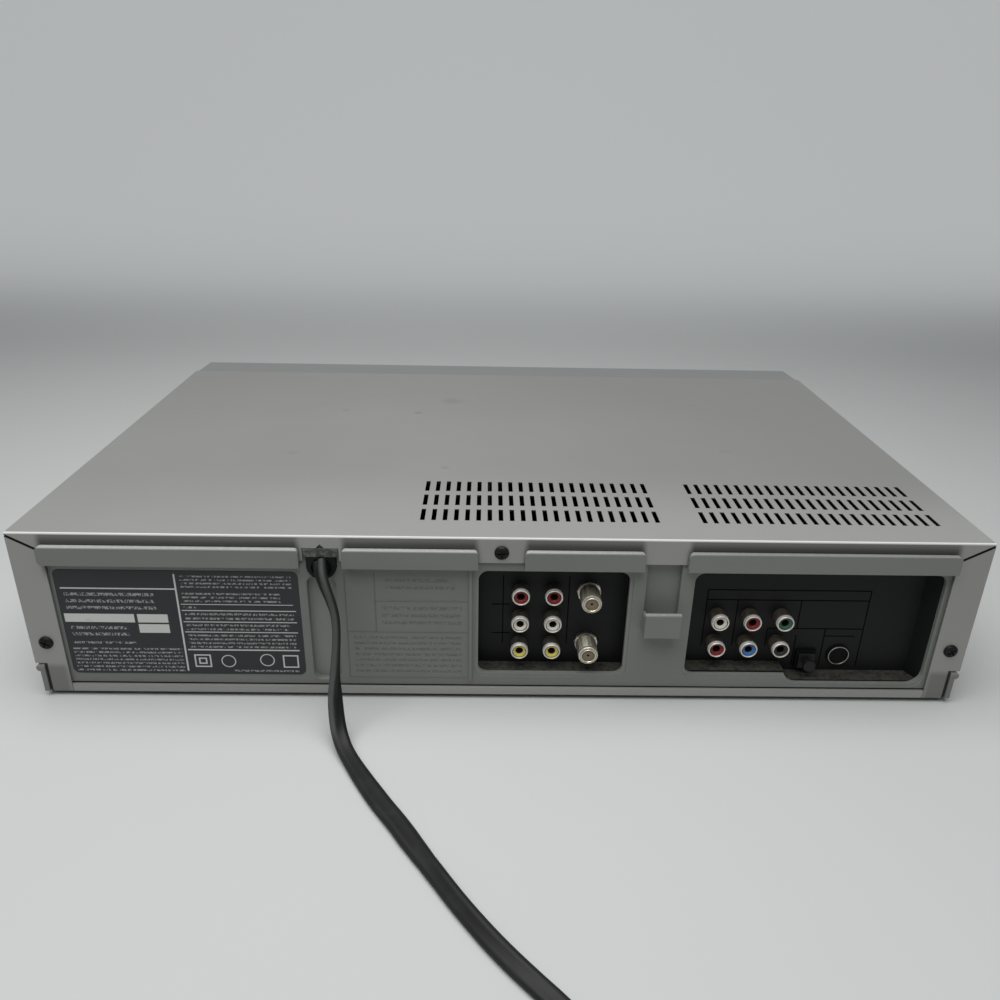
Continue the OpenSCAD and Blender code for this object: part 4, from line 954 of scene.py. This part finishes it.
class PLAYER_OT_cord(bpy.types.Operator):
    """Flat twin cord from its outlet to its coil, and the plug on the coil"""

    bl_idname = "player.cord"
    bl_label = "Cord and plug"

    def execute(self, context):
        width = sizes().cord_width / MM
        thick = sizes().cord_thickness / MM
        points, ways = flat_cord(width, thick, sizes().coil_turns)
        cord = self.tube(points, ways, width, thick)
        finish(cord, self.sheath(), ("power_cord", "power_cord_coil"))
        plug = self.plug()
        [tuple(q * MM) for q in points]
        return {"FINISHED"}

    def tube(self, points, ways, width, thick):
        """Two round cores with a groove on each side, drawn along the points. Notes where light and shade
        are painted on it.
        """
        half, radius, depth = (width - thick) / 2, thick / 2, 0.3
        lit_from = Vector((0.3, 0.93, 0.2))
        # Points round each core and one in its groove: across, up, which lobe, and the way that they face
        ring = []
        for lobe, first in ((1, -104), (-1, 76)):
            for k in range(9):
                a = math.radians(first + k * 26)
                ring.append((lobe * half + radius * math.cos(a), radius * math.sin(a), lobe, a))
            ring.append((0, lobe * (radius - depth), 0, 0))
        count = len(ring)
        verts, faces, sheen_and_shade = [], [], []
        for i, (p, way) in enumerate(zip(points, ways)):
            ahead = heading(points, i)
            way = squared(way, ahead)
            up = way.cross(ahead)
            wider = 1 + between(SPREAD, p.y)
            # The groove is shallow where the cord lies pressed flat
            groove = 1 - 0.26 * ease((p.z - 25) / 20)
            # While it hangs, its leading lobe gets a painted highlight where it faces the light; painted
            # shade darkens the rest
            hangs = 0.25 * ease((225 - p.y) / 30) + 0.75 * ease((p.z - 4) / 6)
            hangs -= 0.35 * ease((p.z - 48) / 14)
            for across, high, lobe, turn in ring:
                verts.append((p + way * across * wider + up * high * (1 if lobe else groove)) * MM)
                facing = (way * math.cos(turn) + up * math.sin(turn)).dot(lit_from)
                sheen_and_shade.append(hangs * {1: ease((facing - 0.4) / 0.5), 0: -1, -1: -0.6}[lobe])
        for i in range(0, len(verts) - count, count):
            for k in range(count):
                n = (k + 1) % count
                faces.append((i + k, i + n, i + count + n, i + count + k))
        faces.append(tuple(range(count - 1, -1, -1)))
        faces.append(tuple(range(len(verts) - count, len(verts))))
        mesh = bpy.data.meshes.new("flat_cord")
        mesh.from_pydata(verts, [], faces)
        mesh.attributes.new("wear_and_painted_light", "FLOAT", "POINT").data.foreach_set("value", sheen_and_shade)
        cord = placed("flat_cord", mesh)
        close_mesh(cord)
        smooth(cord, 50)
        return cord

    def sheath(self):
        """Black rubber with a painted highlight where its painted-light attribute is above 0, and painted
        shade where it is below.
        """
        p = Paint("cord_sheath", tuple(colours().cord), 0.55, specular=0.25)
        scuffed = p.step(p.noise(7, 5, 0.6), 0.5, 0.72)
        wear_and_painted_light = p.node("ShaderNodeAttribute", {"attribute_name": "wear_and_painted_light"}, out="Fac")
        p.shade(2.2, scuffed * 0.4)
        # Painted shade on the groove and the far lobe, then a painted highlight on the lobe facing the
        # light
        p.shade(0.4, p.step(wear_and_painted_light, 0, -0.6))
        p.lay((0.062, 0.064, 0.062), p.step(wear_and_painted_light, 0, 1) * (0.75 + p.noise(2, 3) * 0.4))
        return p.finished(0.50 + scuffed * 0.15 + wear_and_painted_light * 0.1, p.noise(0.7, 3), 0.02, 0.5)

    def plug(self):
        """Moulded two-blade plug with a ribbed neck."""
        low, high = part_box("power_plug")
        mid = (low + high) / 2
        back, face = high.y - 45 * MM, high.y - 17 * MM
        body = round_edges(block("plug_body", (low.x, back, low.z), (high.x, face, high.z)), 3.5 * MM, 4)
        steps = [(0, 4.0)]
        for k in range(6):
            rib = ((0.2, 0.6), (1.2, 0.6), (1.4, 0), (2, 0))
            steps += [(2 * k + at, 4.3 + 0.22 * k + out) for at, out in rib]
        neck = turned("plug_neck", (mid.x, back - 14 * MM, mid.z), steps + [(14.5, 5.8)], 24)
        blades = []
        for side in (-1, 1):
            middle = mid.x + side * 6.35 * MM
            low_corner = (middle - 0.75 * MM, face - MM, mid.z - 3.2 * MM)
            high_corner = (middle + 0.75 * MM, high.y, mid.z + 3.2 * MM)
            blades.append(round_edges(block("plug_blade", low_corner, high_corner), 0.5 * MM))
        steel = plated("blade_plate", (0.62, 0.56, 0.40), 0.25, 0.3)
        blade_pair = finish(joined(blades, "plug_blades"), steel)
        moulding = glossy_plastic("plug_moulding", (0.016, 0.016, 0.017), 0.4)
        plug = finish(joined([body, neck], "mains_plug"), moulding, ("power_plug",))
        blade_pair.parent = plug
        return plug


# ---------------------------------------------------------------- shells


class PLAYER_OT_rear_shells(bpy.types.Operator):
    """Cover, base and rear mouldings with rounded edges"""

    bl_idname = "player.rear_shells"
    bl_label = "Cover and rear mouldings"

    def execute(self, context):
        s = sizes()
        cover = satin_cover_paint()
        grey = moulded_grey("panel_moulding", tuple(colours().panel), 0.55, dusty=0.2, print_wear_and_panel_light=True)
        black = moulded_grey("jack_moulding", tuple(colours().jack_black), 0.5, dusty=0.8, specular=0.22)
        outlet = moulded_grey("outlet_rubber", (0.0045, 0.0045, 0.0045), 0.6, specular=0.2)
        shell("top_cover", s.cover_edge, cover)
        shell("chassis_base", s.cover_edge * 0.6, cover)
        shell("rear_panel", s.panel_edge, grey)
        shell("av_jack_plate", s.panel_edge * 0.8, black)
        shell("dvd_jack_plate", s.panel_edge * 0.8, black)
        shell("strain_relief", s.panel_edge * 0.6, outlet)
        shell("feet", 0.8 * MM, rubber("foot_rubber", (0.030, 0.030, 0.031)), 3)
        return {"FINISHED"}


class PLAYER_OT_front_shells(bpy.types.Operator):
    """Front panel, tray bezel, cassette door, keys and window"""

    bl_idname = "player.front_shells"
    bl_label = "Front panel and keys"

    def execute(self, context):
        s = sizes()
        silver = silver_front_paint()
        key_paint = glossy_plastic("key_paint", (0.26, 0.27, 0.28), 0.3)
        shell("front_panel", s.front_edge, silver, 3)
        shell("cassette_door", s.key_edge, silver, body="cassette_door")
        shell("tray_front", s.key_edge, silver, body="tray")
        window = Paint("smoked_window", (0.006, 0.007, 0.009), 0.08, coat=0.6)
        window.set("Roughness", 0.06 + window.noise(30, 3) * 0.06)
        shell("display_window", 0.3 * MM, window.material)
        for body in frame["bodies"]:
            if body.endswith("_button"):
                shell(body, s.key_edge, key_paint, 3, body)
        return {"FINISHED"}


# ---------------------------------------------------------------- small pieces


class PLAYER_OT_label(bpy.types.Operator):
    """Dark label film on the rear panel"""

    bl_idname = "player.label"
    bl_label = "Label"

    def execute(self, context):
        shell("rating_label", 0.08 * MM, label_film(*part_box("rating_label")), 1)
        return {"FINISHED"}


class PLAYER_OT_screws(bpy.types.Operator):
    """Three black pan-head screws with cross recesses"""

    bl_idname = "player.screws"
    bl_label = "Cover screws"

    def execute(self, context):
        low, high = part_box("cover_screws")
        r = sizes().screw_head
        profile = [(at, share * r / MM) for at, share in ((0, 1), (0.6, 1), (1.2, 0.84), (1.5, 0.55))]
        rear = high.y - profile[-1][0] * MM
        places = [(high.x - r, low.z + r), (low.x + r, low.z + r), (self.lip_x(), high.z - r)]
        made = []
        # Each recess stands at its own angle
        for i, (x, z) in enumerate(places):
            middle = Vector((x, rear, z))
            head = turned("screw_head", middle, profile, 32)
            for arm in (Vector((2.1, 0, 0.32)), Vector((0.32, 0, 2.1))):
                self.cut(head, middle, arm, 25 + 30 * i)
            made += [head, turned("screw_shank", middle, [(0.1, 1.45), (-7, 1.45)], 24)]
        black = plated("screw_black", (0.026, 0.026, 0.027), 0.40, 0.3)
        finish(joined(made, "pan_head_screws"), black, ("cover_screws",))
        return {"FINISHED"}

    def lip_x(self):
        """The middle of the top screw, from the node's own points above its side screws."""
        mesh = frame["nodes"]["cover_screws"].data
        high = max(v.co.z for v in mesh.vertices)
        near = [v.co.x for v in mesh.vertices if v.co.z > high - 6.7 * MM]
        return (min(near) + max(near)) / 2

    def cut(self, piece, middle, arm, degrees):
        """Cuts one arm of the cross recess, given by its half sizes in millimetres."""
        low = middle + (Vector((0, 0.6, 0)) - arm) * MM
        high = middle + (Vector((0, 3, 0)) + arm) * MM
        cutter = block("recess_cutter", low, high)
        edit(cutter)
        centre = (low + high) / 2
        bpy.ops.transform.rotate(value=math.radians(degrees), orient_axis="Y", center_override=centre)
        apply(piece, "BOOLEAN", object=cutter, operation="DIFFERENCE", solver="EXACT")
        discard(cutter)


class PLAYER_OT_aerial_connectors(bpy.types.Operator):
    """Two threaded aerial connectors with their insulators"""

    bl_idname = "player.aerial_connectors"
    bl_label = "Aerial connectors"

    def execute(self, context):
        boxes = solids("rf_connectors")
        low, high = boxes[0]
        tube, core = self.turnings((high.x - low.x) / MM / 2, (high.y - low.y) / MM)
        tubes, cores, middles = [], [], []
        for a, b in boxes:
            place = middle_at(a.y, a, b)
            middles.append((place.x / MM, place.z / MM))
            tubes.append(moved_copy(tube, place))
            cores.append(moved_copy(core, place))
        discard(tube, core)
        nickel = threaded_metal("aerial_nickel", (0.72, 0.69, 0.58), middles)
        tan = insulator_tan("aerial_insulator", (0.20, 0.155, 0.105), middles)
        finish(joined(tubes, "aerial_threads"), nickel, ("rf_connectors",))
        finish(joined(cores, "aerial_insulators"), tan)
        return {"FINISHED"}

    def turnings(self, flange, face):
        """The threaded tube and its core, from the flange's radius and the tube's length in millimetres."""
        # The tube stands 12 mm proud of its plate
        plate = face - 12
        thread = flange - 0.64
        rim = thread - 0.55
        at = plate + 1.9
        steps = [(0, thread), (plate - 0.2, flange), (plate + 1, flange), (plate + 1.2, rim), (at, rim)]
        pitch = sizes().thread_pitch / MM
        tooth = ((0.30, 0), (0.55, 0), (0.95, 0.22))
        while at + pitch < face - 1.6:
            steps += [(at + pitch * share, thread - inset) for share, inset in tooth]
            at += pitch
        # A bright shoulder, a dark ring and the thin inner lip
        for back, inset in ((1.5, 0.1), (0.95, 0.1), (0.5, 0.4), (0.45, 0.65), (0.85, 0.8), (0.85, 1.2),
                            (0.1, 1.25), (0, 1.35), (0, 1.6), (0.15, 1.72)):
            steps.append((face - back, thread - inset))
        steps.append((plate + 1, thread - 1.75))
        bore = thread - 1.82
        core = [(plate + 2, bore), (face - 0.7, bore), (face - 0.6, bore - 0.15), (face - 0.6, 0.95),
                (face - 0.75, 0.8), (face - 0.75, 0.5), (face - 3, 0.4)]
        return turned("aerial_thread", (0, 0, 0), steps, 36), turned("aerial_core", (0, 0, 0), core, 32)


class PLAYER_OT_phono_jacks(bpy.types.Operator):
    """Phono jack shells and their coloured inserts"""

    bl_idname = "player.phono_jacks"
    bl_label = "Phono jacks"

    INSERTS = {
        "rca_inserts_red": (0.17, 0.009, 0.010),
        "rca_inserts_white": (0.62, 0.61, 0.53),
        "rca_inserts_yellow": (0.56, 0.49, 0.10),
        "rca_insert_green": (0.022, 0.095, 0.058),
        "rca_insert_blue": (0.045, 0.14, 0.35),
        "rca_insert_black": (0.020, 0.017, 0.014),
    }
    # Outlines from the rear to the face at 0 and into the bore: distance and radius in millimetres
    BARREL = [(-8.0, 3.95), (-2.0, 3.95), (-1.95, 4.13), (-1.3, 4.1), (-1.2, 3.95), (-1.05, 3.95),
              (-0.95, 4.08), (-0.4, 4.05), (-0.1, 3.88), (0, 3.72), (0, 3.5), (-0.15, 3.32),
              (-0.9, 3.3), (-7.0, 3.28)]
    FUNNEL = [(-5.5, 3.0), (-0.5, 3.0), (-0.35, 2.88), (-0.38, 2.7), (-1.3, 1.72), (-5.0, 1.6)]

    def execute(self, context):
        self.jacks()
        black = moulded_grey("socket_plastic", (0.0035, 0.0037, 0.0036), 0.6, specular=0.14)
        shell("optical_socket", 0.15 * MM, black, 1)
        shell("svideo_socket", 0.12 * MM, black, 1)
        self.svideo_ring()
        plug_black = moulded_grey("plug_black", (0.0075, 0.0075, 0.0075), 0.5, specular=0.3)
        shell("optical_dust_plug", 0.25 * MM, plug_black, body="optical_dust_plug")
        return {"FINISHED"}

    def jacks(self):
        """One shell and one insert for each way that the jacks face, copied into each jack's place."""
        metal = jack_shell_metal("jack_nickel", tuple(colours().nickel))
        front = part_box("rca_shells")[0].y / MM
        cad_shells = solids("rca_shells")
        shells, funnels = [], {node: [] for node in self.INSERTS}
        for way in (1, -1):
            barrel = turned("jack_shell", (0, 0, 0), self.BARREL, 36, way)
            funnel = turned("jack_insert", (0, 0, 0), self.FUNNEL, 32, way)
            for node, made in funnels.items():
                for low, high in solids(node):
                    if (high.y > 0) != (way > 0):
                        continue
                    face = next(b.y if way > 0 else a.y for a, b in cad_shells
                                if a.x < low.x < b.x and a.z < low.z < b.z)
                    place = middle_at(face, low, high)
                    shells.append(moved_copy(barrel, place))
                    made.append(moved_copy(funnel, place))
            discard(barrel, funnel)
        finish(joined(shells, "jack_shells"), metal, ("rca_shells",))
        for node, rgb in self.INSERTS.items():
            name = node.replace("rca_", "").replace("inserts", "insert")
            plastic = insert_plastic(name + "_plastic", rgb, front)
            finish(joined(funnels[node], name), plastic, (node,))

    def svideo_ring(self):
        """Plated ring in the rim of the S-video socket."""
        low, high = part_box("svideo_socket")
        outer = (high.x - low.x) / 2 / MM
        outline = ((0, 0.95), (0, 0.45), (0.4, 0.45), (0.55, 0.55), (0.55, 0.85), (0.4, 0.95),
                   (1e-4, 0.95))
        steps = [(at, outer - inset) for at, inset in outline]
        ring = turned("svideo_ring", middle_at(high.y - 0.4 * MM, low, high), steps, 48, fill=False)
        finish(ring, plated("svideo_nickel", (0.42, 0.41, 0.39), 0.28, 0.4))


# Raised lines: x, z, x, z in millimetres
DISC_PLATE_LINES = [(-95, 53.7, -171.2, 53.7), (-95, 48.4, -171.2, 48.4), (-95, 53.7, -95, 23.5),
                    (-171.2, 53.7, -171.2, 12.5), (-109.6, 48.4, -109.6, 23.5),
                    (-139.4, 48.4, -139.4, 33), (-125.5, 33, -171.2, 33),
                    (-125.5, 33, -125.5, 23.5), (-139.8, 29, -139.8, 12.5),
                    (-153.2, 33, -153.2, 12.5), (-153.2, 29, -167.6, 29)]
TAPE_PLATE_LINES = [(0, 60, 0, 23.5), (-30.4, 60, -30.4, 23.5), (5, 44.8, -3.2, 44.8),
                    (5, 29.2, -3.2, 29.2)]
PANEL_LINES = [(57.8, 66, 57.8, 36), (57.8, 52.3, 16.6, 52.3), (71, 36, 16.6, 36), (71, 66, 71, 11),
               (71, 11, 16.6, 11)]
# The symbols on each key: kind, millimetres to the right, and which way they point
KEY_MARKS = {
    "play_button": [("triangle", 0, 1)],
    "forward_button": [("triangle", -1.2, 1), ("triangle", 1.2, 1)],
    "rewind_button": [("triangle", -1.2, -1), ("triangle", 1.2, -1)],
    "stop_button": [("square", 0, 1)],
    "record_button": [("disc", 0, 1)],
    "eject_button": [("up", 0, 1), ("bar", 0, 1)],
    "tray_button": [("up", 0, 1), ("bar", 0, 1)],
    "power_button": [("ring", 0, 1)],
}


class PLAYER_OT_raised_lines(bpy.types.Operator):
    """Fine raised lines that frame the groups of jacks and the bare field on the panel"""

    bl_idname = "player.raised_lines"
    bl_label = "Raised lines"

    def execute(self, context):
        black = moulded_grey("line_black", (0.0015, 0.0015, 0.0015), 0.8, specular=0.06)
        # The panel's raised lines are of its own moulding, painted darker as shade
        grey = moulded_grey("line_grey_painted_shade", scaled(colours().panel, 0.78), 0.5)
        # The jacks stand 8 mm proud of their plates
        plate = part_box("rca_shells")[1].y - 8 * MM
        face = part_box("rating_label")[0].y
        finish(self.lines("disc_plate_lines", DISC_PLATE_LINES, plate), black)
        finish(self.lines("tape_plate_lines", TAPE_PLATE_LINES, plate), black)
        finish(self.lines("panel_lines", PANEL_LINES, face), grey)
        return {"FINISHED"}

    def lines(self, name, lines, y):
        half, high = sizes().line_width / 2, sizes().line_height
        made = []
        for x0, z0, x1, z1 in lines:
            low = (min(x0, x1) * MM - half, y - SUNK, min(z0, z1) * MM - half)
            up = (max(x0, x1) * MM + half, y + high, max(z0, z1) * MM + half)
            made.append(round_edges(block(name, low, up), 0.07 * MM, 1))
        return joined(made, name)


class PLAYER_OT_key_marks(bpy.types.Operator):
    """Plain raised symbols on the keys"""

    bl_idname = "player.key_marks"
    bl_label = "Key marks"

    def execute(self, context):
        pale = glossy_plastic("mark_print", (0.62, 0.62, 0.60), 0.4)
        red = glossy_plastic("record_print", (0.42, 0.03, 0.03), 0.4)
        for button, marks in KEY_MARKS.items():
            low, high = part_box(button)
            middle = middle_at(low.y, low, high)
            made = [self.mark(kind, middle + Vector((dx * MM, 0, 0)), way) for kind, dx, way in marks]
            piece = joined(made, button.replace("_button", "_mark"))
            finish(piece, red if button == "record_button" else pale, body=button)
        return {"FINISHED"}

    def mark(self, kind, middle, way):
        """One symbol on the key's front face, which faces -Y."""
        x, y, z = middle
        high = sizes().mark_height
        proud = high / MM
        if kind == "ring":
            steps = [(0, 2.6), (0, 3.1), (proud * 0.7, 3.1), (proud, 2.95), (proud, 2.75), (0, 2.6)]
            return turned("mark", middle, steps, 36, -1, fill=False)
        if kind == "disc":
            return turned("mark", middle, [(-SUNK / MM, 1.5), (proud * 0.7, 1.5), (proud, 1.4)], 32, -1)
        if kind in ("square", "bar"):
            wide, tall, lift = (1.3, 1.3, 0) if kind == "square" else (1.6, 0.35, -1.35)
            low = (x - wide * MM, y - high, z + (lift - tall) * MM)
            piece = block("mark", low, (x + wide * MM, y + SUNK, z + (lift + tall) * MM))
        else:
            release()
            # The first corner points up, and is turned to point along X, seen from the front
            lift, spin = (0.5 * MM, 0) if kind == "up" else (0, math.radians(90 * way))
            bpy.ops.mesh.primitive_cylinder_add(vertices=3, radius=1.6 * MM, depth=high + 2 * SUNK)
            piece = bpy.context.object
            piece.location = (x, y - high / 2, z + lift)
            piece.rotation_euler = (math.pi / 2, spin, 0)
            settle(piece, "mark")
        return round_edges(piece, 0.05 * MM, 1)


# ---------------------------------------------------------------- works inside


class PLAYER_OT_works(bpy.types.Operator):
    """Finishes of the boards, the loader and the tape deck inside"""

    bl_idname = "player.works"
    bl_label = "Works inside"

    def execute(self, context):
        finishes = (
            (circuit_board("green_laminate", (0.020, 0.085, 0.040), (0.045, 0.16, 0.075)),
             ("front_board", "main_board")),
            (circuit_board("brown_laminate", (0.24, 0.14, 0.055), (0.34, 0.22, 0.10)), ("power_board",)),
            (zinc_sheet("zinc_steel", (0.50, 0.52, 0.53)),
             ("deck_chassis", "cassette_frame", "cassette_holder", "capstan", "pinch_arm",
              "tape_heads")),
            (zinc_sheet("drum_aluminium", (0.68, 0.69, 0.70), 0.22), ("drum_base", "head_drum")),
            (moulded_grey("loader_black", (0.030, 0.031, 0.034), 0.5, grain=0.6),
             ("loader_frame", "disc_tray", "disc_turntable", "optical_sled", "disc_clamp", "supply_reel",
              "takeup_reel")),
            (moulded_grey("acetal", (0.66, 0.64, 0.58), 0.4), ("tray_gear", "carriage_guides")),
            (glossy_plastic("transformer_tape", (0.46, 0.31, 0.06), 0.35), ("transformer",)),
            (glossy_plastic("capacitor_sleeve", (0.016, 0.022, 0.04), 0.3), ("capacitors",)),
            (zinc_sheet("heat_sink_metal", (0.60, 0.61, 0.62)), ("heat_sink",)),
            (zinc_sheet("tin_plate", (0.55, 0.56, 0.57), 0.3), ("tuner_module",)),
            (rubber("roller_rubber", (0.022, 0.022, 0.022)), ("pinch_roller",)),
        )
        for material, nodes in finishes:
            for node in nodes:
                coat(frame["nodes"][node], material)
        return {"FINISHED"}


# ---------------------------------------------------------------- add-on


OPERATORS = (
    PLAYER_OT_stage, PLAYER_OT_cord, PLAYER_OT_rear_shells, PLAYER_OT_front_shells, PLAYER_OT_label,
    PLAYER_OT_screws, PLAYER_OT_aerial_connectors, PLAYER_OT_phono_jacks, PLAYER_OT_raised_lines,
    PLAYER_OT_key_marks, PLAYER_OT_works,
)


class PLAYER_PT_panel(bpy.types.Panel):
    """Lists the steps in the sidebar"""

    bl_label = "Video player"
    bl_idname = "PLAYER_PT_panel"
    bl_space_type = "VIEW_3D"
    bl_region_type = "UI"
    bl_category = "Player"

    def draw(self, context):
        for group in ("player_sizes", "player_colours", "player_stage"):
            settings = getattr(context.scene, group)
            box = self.layout.box()
            for name in settings.bl_rna.properties.keys():
                if name not in ("rna_type", "name"):
                    box.prop(settings, name)
        for operator in OPERATORS:
            self.layout.operator(operator.bl_idname)


GROUPS = {"player_sizes": PlayerSizes, "player_colours": PlayerColours, "player_stage": PlayerStage}


def register():
    for name, group in GROUPS.items():
        bpy.utils.register_class(group)
        setattr(bpy.types.Scene, name, PointerProperty(type=group))
    for kind in (*OPERATORS, PLAYER_PT_panel):
        bpy.utils.register_class(kind)


def unregister():
    for kind in (PLAYER_PT_panel, *reversed(OPERATORS)):
        bpy.utils.unregister_class(kind)
    for name, group in GROUPS.items():
        delattr(bpy.types.Scene, name)
        bpy.utils.unregister_class(group)


def main():
    register()
    for operator in OPERATORS:
        group, name = operator.bl_idname.split(".")
        getattr(getattr(bpy.ops, group), name)()
    bpy.context.view_layer.update()


if __name__ == "__main__":
    main()
